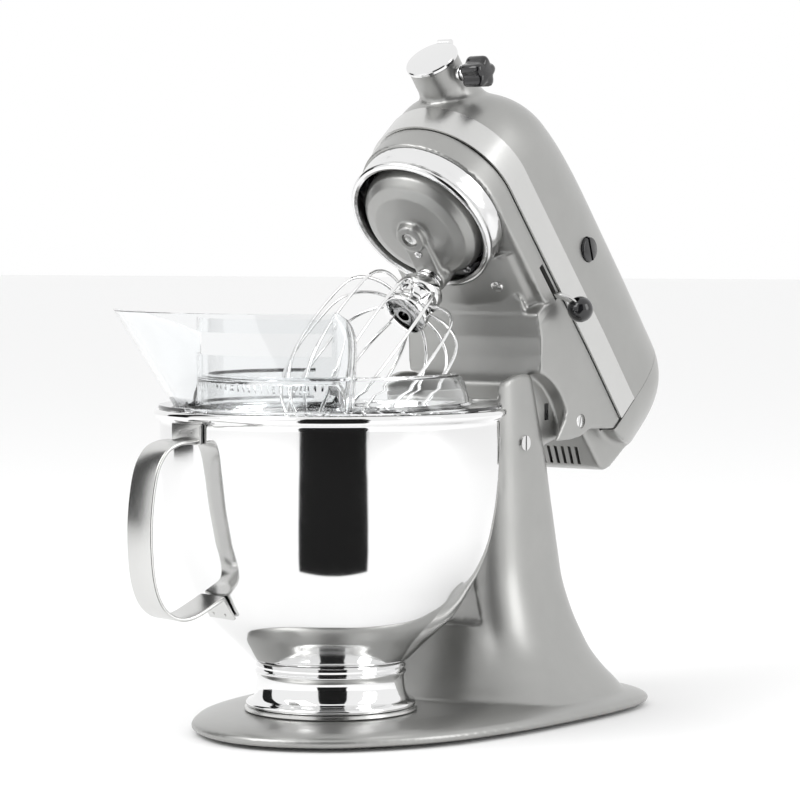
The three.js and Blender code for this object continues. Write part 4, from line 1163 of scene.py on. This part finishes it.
    def lever_slots(self) -> list[bpy.types.Object]:
        """The slots that the two levers run in.

        Returns:
            The solids to cut away.
        """
        return [
            block("slot", (36, -82, 80.9), (70, -54, 85.1), PLACES.head),
            block("slot", (-70, -98, 80.9), (-36, -37, 85.1), PLACES.head),
        ]

    def trim(self) -> bpy.types.Object:
        """Builds the steel band with its two raised lips.

        Returns:
            The solid.
        """
        half = (self.trim_high - self.trim_low) / 2 - GAP
        middle = (self.trim_high + self.trim_low) / 2
        section = [(half, -1.3), (half, 1.1), (half - 0.5, 1.5), (half - 1.6, 1.4), (half - 2.1, 0.9)]
        section += [(-a, b) for a, b in reversed(section)]
        path = [(x, y, middle) for x, y in self.plan(0.0, -self.seam + 1.8, 64)]
        return swept("steel_band", path, section, PLACES.head, Vector((0, 0, 1)))

    def build(self) -> None:
        """Builds and dresses the shells, the band and the ring."""
        dress(self.upper(), Look.PAINT, "head", "head_upper_housing", sharp=50)
        dress(self.cover(), Look.PAINT, "head", "rear_cover", sharp=50)
        casing = self.lower()
        self.dark_trim()
        dress(casing, Look.PAINT, "head", "head_lower_casing", sharp=50)
        dress(self.trim(), Look.BRUSHED, "head", "trim_band", sharp=30)
        profile = curve_through(list(self.ring_face), 5) + list(self.ring_back)
        ring = lathe("chrome_ring", profile, PLACES.head, 160, (0, -self.nose_a))
        dress(ring, Look.CHROME, "head", "drip_ring", sharp=40)


# ---------------------------------------------------------------- small fittings
def slotted(name: str, radius: float, thick: float, slot: float, place: Matrix) -> bpy.types.Object:
    """A slotted disc that faces +Z of its place, with its face at height 0.

    Args:
        name: the piece's name.
        radius: the disc's radius in millimetres.
        thick: its depth.
        slot: the slot's width.
        place: the matrix to the frame.

    Returns:
        The disc.
    """
    edge = min(0.8, radius / 6)
    rim = [(radius, -thick), (radius, -edge), (radius - edge * 0.4, -edge * 0.3), (radius - edge, 0)]
    disc = lathe(name, [(0, -thick), *rim, (0, 0)], place, 48)
    return cut_all(disc, block("slot", (-radius - 1, -slot / 2, -slot), (radius + 1, slot / 2, 1), place))


def facing(side: int, x: float, y: float, z: float, turn: float = 0.0) -> Matrix:
    """A place on the head's flank that faces outwards.

    Args:
        side: 1 for the right flank, -1 for the left.
        x: distance from the middle.
        y: along the head.
        z: height above the pin.
        turn: rotation of the fitting about its own axis, in radians.

    Returns:
        The matrix to the frame.
    """
    outwards = Matrix.Rotation(side * math.pi / 2, 4, "Y") @ Matrix.Rotation(turn, 4, "Z")
    return PLACES.head @ Matrix.Translation((side * x, y, z)) @ outwards


@dataclass
class Fittings:
    """Caps, screws, plugs, levers, the hub's lid and its clamp knob."""

    brush_a: float = 56.0
    hub_u: float = 132.0
    knob_a: float = 204.0
    lever_u: float = 83.0
    ball_x: float = 70.0
    ball_r: float = 8.6
    ball_back: float = 12.0
    lid: tuple[Pair, ...] = ((0, 0), (17.4, 0), (17.9, 0.5), (17.9, 2.2), (17.4, 3), (16.2, 3.3), (0, 3.3))
    # x along the knob, and how far its lobes swell there
    grip: tuple[Pair, ...] = (
        (24.4, -1.6), (25, -0.6), (26.4, 0), (36.6, 0), (38.4, -0.5), (39.6, -1.8), (40, -3.4),
    )

    def flank(self) -> None:
        """Builds the brush caps, hinge screws and casing plugs."""
        for side, tag in ((1, "right"), (-1, "left")):
            flank = facing(side, 57.4, -self.brush_a, self.hub_u, 1.2)
            cap = slotted(f"slotted_cap_{tag}", 8.3, 4.6, 2.2, flank)
            dress(cap, Look.BLACK, "head", f"brush_cap_{tag}")
            screw = slotted(f"hinge_bolt_{tag}", 4.5, 2.4, 1.1, facing(side, 54.6, 28, 53, 0.6))
            dress(screw, Look.CHROME, "head", f"hinge_screw_{tag}")
            down = PLACES.head @ Matrix.Translation((side * 30, -81, 61.6)) @ Matrix.Rotation(math.pi, 4, "X")
            plug = slotted(f"belly_plug_{tag}", 4.4, 3, 1.2, down @ Matrix.Rotation(0.5, 4, "Z"))
            dress(plug, Look.BRUSHED, "head", f"casing_plug_{tag}")

    def lever(self, side: int, a: float, name: str, body: str, *nodes: str) -> None:
        """Builds one lever with its ball.

        Args:
            side: 1 for the right flank, -1 for the left.
            a: distance of the slot's rear end in front of the pin.
            name: first word of the pieces' names.
            body: the body that both ride on.
            nodes: the CAD nodes of the lever and of its ball.
        """
        bend = ((40, 0), (56, 0), (63, 2.4), (68, 6.6), (self.ball_x, self.ball_back - 2))
        line = curve_through([(side * x, -a + y, self.lever_u) for x, y in bend], 8)
        arm = swept(f"{name}_arm", line, rounded(1.3, 2.2, 0.8, 3), PLACES.head, Vector((0, 0, 1)))
        dress(arm, Look.BRUSHED, body, nodes[0])
        r, angles = self.ball_r, [i / 24 * math.pi for i in range(1, 24)]
        sphere = [(0, -r), *((r * math.sin(angle), -r * math.cos(angle)) for angle in angles), (0, r)]
        centre = Matrix.Translation((side * self.ball_x, -a + self.ball_back, self.lever_u))
        ball = lathe(f"{name}_ball", sphere, PLACES.head @ centre, 48)
        axis = (side * self.ball_x, self.lever_u)
        room = rod("room", 2.6, -a, -a + self.ball_back - 1, Axis.Y, axis, PLACES.head)
        dress(cut_all(ball, room), Look.BLACK, body, nodes[1], sharp=40)

    def hub(self) -> None:
        """Builds the hub's lid and the clamp knob."""
        front = PLACES.head @ Matrix.Translation((0, -213.9, self.hub_u))
        front = front @ Matrix.Rotation(math.pi / 2, 4, "X")
        lid = lathe("hub_lid", list(self.lid), front, 96)
        join_all(lid, rod("ear", 2.4, -5, 5, Axis.X, (-215.6, self.hub_u + 18.6), PLACES.head, sides=32))
        dress(lid, Look.CHROME, "hub_lid", "hub_cap", sharp=30)
        grip = []
        for x, swell in self.grip:
            ring = []
            for i in range(80):
                angle = i / 80 * TURN
                r = 9.5 + 1.3 * math.cos(5 * angle) + swell
                ring.append((x, -self.knob_a + r * math.cos(angle), self.hub_u + r * math.sin(angle)))
            grip.append(ring)
        dress(loft("clamp_knob", grip, PLACES.head), Look.BLACK, "hub_knob", "attachment_knob", sharp=50)
        axis = (-self.knob_a, self.hub_u)
        stem = rod("clamp_stem", 4, 13.5, 24.3, Axis.X, axis, PLACES.head, sides=40)
        join_all(stem, rod("collar", 5.6, 17.2, 20, Axis.X, axis, PLACES.head, sides=40))
        dress(eased(stem, 0.3, 2), Look.CHROME, "hub_knob", "knob_stem")

    def build(self) -> None:
        """Builds every fitting."""
        self.flank()
        self.lever(1, 57, "lock", "lock", "lock_lever", "lock_lever_knob")
        self.lever(-1, 40, "speed", "speed", "speed_lever", "speed_lever_knob")
        self.hub()


# ---------------------------------------------------------------- planetary and whisk
@dataclass
class Planetary:
    """The planetary carrier, the beater's shaft and the whisk."""

    axis_a: float = 139.7
    orbit: float = 34.0
    low: float = 45.0
    loops: int = 6
    wire: float = 1.1
    cage: tuple[Pair, ...] = (
        (12.6, 12.5), (25.8, 10.8), (37.3, 3.6), (43.7, -8.5), (46, -31), (46, -54), (42.8, -78), (34.5, -97),
        (19.3, -111.5),
    )
    cage_low: float = -117.0
    pot: tuple[Pair, ...] = (
        (0, 44), (16, 44.2), (29, 45.4), (36, 48.4), (40.4, 53), (42.6, 59), (43, 64), (43, 68), (0, 68),
    )
    pin: tuple[Pair, ...] = ((0, -10.6), (1.2, -10.6), (1.6, -10.2), (1.6, 10.2), (1.2, 10.6), (0, 10.6))
    collar: tuple[Pair, ...] = (
        (4, 3), (14.2, 3), (15, 3.4), (15.6, 4.4), (15.6, 7.4), (15, 8.4), (12.2, 9), (11.4, 9.6),
        (11.4, 20.6),
        (12, 21.6), (14.4, 22), (14.8, 22.8), (14.8, 28.8), (14.2, 29.8), (13.2, 30), (7, 30), (6.8, 16),
        (4, 15),
    )

    def spot(self, back: float) -> Matrix:
        """The place of an axis that stands a distance behind the planetary's own."""
        return PLACES.head @ Matrix.Translation((0, -self.axis_a + back, 0))

    def carrier(self) -> bpy.types.Object:
        """Builds the carrier casting with its arm and boss.

        Returns:
            The solid.
        """
        centre = self.spot(0)
        made = lathe("carrier_casting", list(self.pot), centre, 96)
        arm = [(6, -9), (9.5, -3), (9, self.orbit), (7, self.orbit + 6)]
        arm += [(-x, y) for x, y in reversed(arm)]
        join_all(
            made,
            prism("arm", arm, self.low - 4.6, self.low + 4, Axis.Z, centre),
            rod("eye", 10, self.low - 6.4, self.low + 2, Axis.Z, (0, 0), centre, 11),
            rod("boss", 10.3, self.low - 5.4, self.low + 12, Axis.Z, (0, self.orbit), centre, 11.2),
        )
        cast(made, 0.8, 5)
        cutters = [
            rod("bore", 5.6, 30, 46.5, Axis.Z, (0, 0), centre),
            rod("shaft_bore", 6.8, 30, 80, Axis.Z, (0, self.orbit), centre),
            rod("screw_bore", 2.9, 36, 43, Axis.Z, (0, 13), centre),
        ]
        return cut_all(made, *cutters)

    def wires(self) -> bpy.types.Object:
        """Builds the whisk's loops and their binding ring.

        Returns:
            The solid.
        """
        place = self.spot(self.orbit)
        parts = []
        for i in range(self.loops):
            turn = Matrix.Rotation(i / self.loops * math.pi, 4, "Z")
            side = [(r, 0.0, z) for r, z in self.cage]
            knots = side + [(0.0, 0.0, self.cage_low)] + [(-x, y, z) for x, y, z in reversed(side)]
            path = curve_through(knots, 7)
            parts.append(swept(f"loop_{i}", path, circle(self.wire, 10), place @ turn, Vector((0, 1, 0))))
        band = [(11.8, 11), (14.2, 11), (14.4, 12.4), (14.2, 13.8), (11.8, 13.8)]
        return join_all(lathe("whisk_cage", band, place, 64), *parts)

    def build(self) -> None:
        """Builds and dresses the carrier, shaft and whisk."""
        centre, place = self.spot(0), self.spot(self.orbit)
        dress(self.carrier(), Look.PAINT, "planetary", "planetary_carrier", sharp=50)
        dished = [(0, 41.4), (3.2, 41.2), (4.6, 40.4), (5.4, 40.6), (5.4, 46), (0, 46)]
        cup = lathe("carrier_eye", dished, centre, 48)
        dress(cup, Look.BRUSHED, "planetary")
        down = centre @ Matrix.Translation((0, 13, 39.4)) @ Matrix.Rotation(math.pi, 4, "X")
        screw = slotted("carrier_bolt", 2.6, 2.4, 0.8, down)
        dress(screw, Look.CHROME, "planetary", "carrier_screw")
        shaft = lathe("whisk_shaft", [(0, 16.5), (5.7, 16.5), (6.5, 17.3), (6.5, 74), (0, 74)], place, 64)
        cut_all(shaft, rod("hole", 1.9, -20, 20, Axis.X, (0, 22), place))
        dress(shaft, Look.STEEL, "beater", "beater_shaft")
        across = place @ Matrix.Translation((0, 0, 22)) @ Matrix.Rotation(math.pi / 2, 4, "Y")
        pin = lathe("cross_pin", list(self.pin), across, 24)
        dress(pin, Look.STEEL, "beater", "beater_pin")
        coil = []
        for i in range(73):
            angle = i / 24 * TURN
            coil.append((8.5 * math.cos(angle), 8.5 * math.sin(angle), 31.4 + 8.2 * i / 72))
        spring = swept("shaft_spring", coil, circle(0.8, 10), place, Vector((0, 0, 1)))
        dress(spring, Look.STEEL, "beater", "beater_spring")
        made = lathe("whisk_collar", list(self.collar), place, 96)
        cut_all(made, block("key", (-12.4, -2.2, 18.6), (12.4, 2.2, 25), place))
        dress(made, Look.STEEL, "beater", "whisk_hub", sharp=40)
        dress(self.wires(), Look.STEEL, "beater", "whisk_wires", sharp=60)


# ---------------------------------------------------------------- carried-over nodes
@dataclass
class Inner:
    """The CAD nodes that stay: feet, hinge pin and the drive inside the head."""

    def build(self) -> None:
        """Gives every node that still shows its record finish."""
        slots = {row["node"]: row["material_slot"] for row in frame["record"]["subparts"]}
        for name, node in frame["nodes"].items():
            if node.hide_render:
                continue
            node.data.materials.clear()
            node.data.materials.append(Look[slots[name].upper()].value.make())
            node.data.shade_smooth()
            node.data.set_sharp_from_angle(angle=math.radians(30))
        LOG.info("inner nodes dressed")


# ---------------------------------------------------------------- stage
@dataclass
class Studio:
    """The camera, the pale floor and the soft lights."""

    aim: Point = (0.0, 71.93, 206.96)
    azimuth: float = 37.46
    elevation: float = 2.71
    distance: float = 2000.0
    lens: float = 138.93

    def toward(self) -> Vector:
        """The direction from the object to the camera."""
        a, e = math.radians(self.azimuth), math.radians(self.elevation)
        return Vector((math.sin(a) * math.cos(e), -math.cos(a) * math.cos(e), math.sin(e)))

    def camera(self) -> None:
        """Places the camera."""
        data = bpy.data.cameras.new("camera")
        data.lens = self.lens
        data.sensor_width = 36
        data.clip_end = 60
        made = bpy.data.objects.new("camera", data)
        bpy.context.scene.collection.objects.link(made)
        made.location = PLACES.bowl @ (Vector(self.aim) + self.toward() * self.distance)
        made.rotation_euler = (-self.toward()).to_track_quat("-Z", "Y").to_euler()
        bpy.context.scene.camera = made

    def area(
        self, name: str, azimuth: float, elevation: float, away: float, size: Pair, power: float
    ) -> None:
        """Adds one soft panel that looks at the object.

        Args:
            name: the light's name.
            azimuth: direction in degrees, as the camera's.
            elevation: height angle in degrees.
            away: distance in metres.
            size: width and height in metres.
            power: strength in watts.
        """
        a, e = math.radians(azimuth), math.radians(elevation)
        way = Vector((math.sin(a) * math.cos(e), -math.cos(a) * math.cos(e), math.sin(e)))
        data = bpy.data.lights.new(name, "AREA")
        data.shape = "RECTANGLE"
        data.size, data.size_y = size
        data.energy = power
        made = bpy.data.objects.new(name, data)
        bpy.context.scene.collection.objects.link(made)
        made.location = Vector((0, 0, 0.2)) + way * away
        made.rotation_euler = (-way).to_track_quat("-Z", "Y").to_euler()

    def flag(self, made: bpy.types.Object) -> None:
        """Makes a sheet dark, and shows it in reflections alone.

        Args:
            made: the sheet.
        """
        material = bpy.data.materials.new(made.name)
        material.use_nodes = True
        shader = material.node_tree.nodes["Principled BSDF"]
        shader.inputs["Base Color"].default_value = (0.012, 0.012, 0.012, 1)
        shader.inputs["Specular IOR Level"].default_value = 0.0
        shader.inputs["Roughness"].default_value = 1.0
        made.data.materials.append(material)
        made.visible_camera = False
        made.visible_shadow = False
        made.visible_diffuse = False

    def card(self, name: str, azimuth: float, away: float, half: float, low: float, high: float) -> None:
        """Adds an upright dark card.

        Args:
            name: the card's name.
            azimuth: direction in degrees, as the camera's.
            away: distance in metres.
            half: half its width in metres.
            low: its lower edge in metres.
            high: its upper edge in metres.
        """
        turn = Matrix.Rotation(math.radians(azimuth), 4, "Z") @ Matrix.Translation((0, -away, 0))
        corners = [(-half, 0, low), (half, 0, low), (half, 0, high), (-half, 0, high)]
        self.flag(mesh_of(name, corners, [(0, 1, 2, 3)], turn))

    def wedge(self, name: str, azimuth: float, spread: float, near: float, far: float) -> None:
        """Adds a dark wedge that lies just above the floor, about the bowl's axis.

        Args:
            name: the wedge's name.
            azimuth: direction of its middle in degrees, as the camera's.
            spread: half its angle in degrees.
            near: distance at which it starts, in metres.
            far: distance at which it ends.
        """
        turn = Matrix.Translation((0, PLACES.bowl_y, 0.0015)) @ Matrix.Rotation(math.radians(azimuth), 4, "Z")
        slope = math.tan(math.radians(spread))
        corners = [(-near * slope, -near, 0), (near * slope, -near, 0)]
        corners += [(far * slope, -far, 0), (-far * slope, -far, 0)]
        self.flag(mesh_of(name, corners, [(0, 1, 2, 3)], turn))

    def build(self) -> None:
        """Builds the floor, the backdrop and the lights."""
        scene = bpy.context.scene
        scene.view_settings.view_transform = "Standard"
        reach = 30
        corners = [(-reach, -reach, 0), (reach, -reach, 0), (reach, reach, 0), (-reach, reach, 0)]
        floor = mesh_of("floor", corners, [(0, 1, 2, 3)], Matrix.Identity(4))
        pale = Finish("pale_floor", (0.92, 0.92, 0.92), 0.0, 0.75, 0.05, 0.0, 40, bump=0.0)
        floor.data.materials.append(pale.make())
        world = bpy.data.worlds.new("studio")
        world.use_nodes = True
        world.node_tree.nodes["Background"].inputs["Color"].default_value = (1, 1, 1, 1)
        world.node_tree.nodes["Background"].inputs["Strength"].default_value = 1.0
        scene.world = world
        self.area("key_panel", -20, 40, 2.6, (1.6, 1.6), 30)
        self.area("side_panel", 100, 20, 2.4, (1.0, 1.8), 14)
        self.card("camera_flag", self.azimuth + 3, 2.7, 1.07, 0.0, 3.2)
        self.wedge("floor_flag", self.azimuth + 3, 21.6, 0.19, 2.7)
        self.card("left_flag", self.azimuth - 112, 2.2, 0.5, 0.0, 2.4)


def main() -> None:
    """Builds the mixer from its base up, then the studio."""
    logging.basicConfig(level=logging.INFO, format="%(message)s")
    Studio().camera()
    for part in (Base(), Bowl(), Shield(), Head(), Fittings(), Planetary(), Inner(), Studio()):
        LOG.info("building %s", type(part).__name__.lower())
        part.build()


if __name__ == "__main__":
    main()
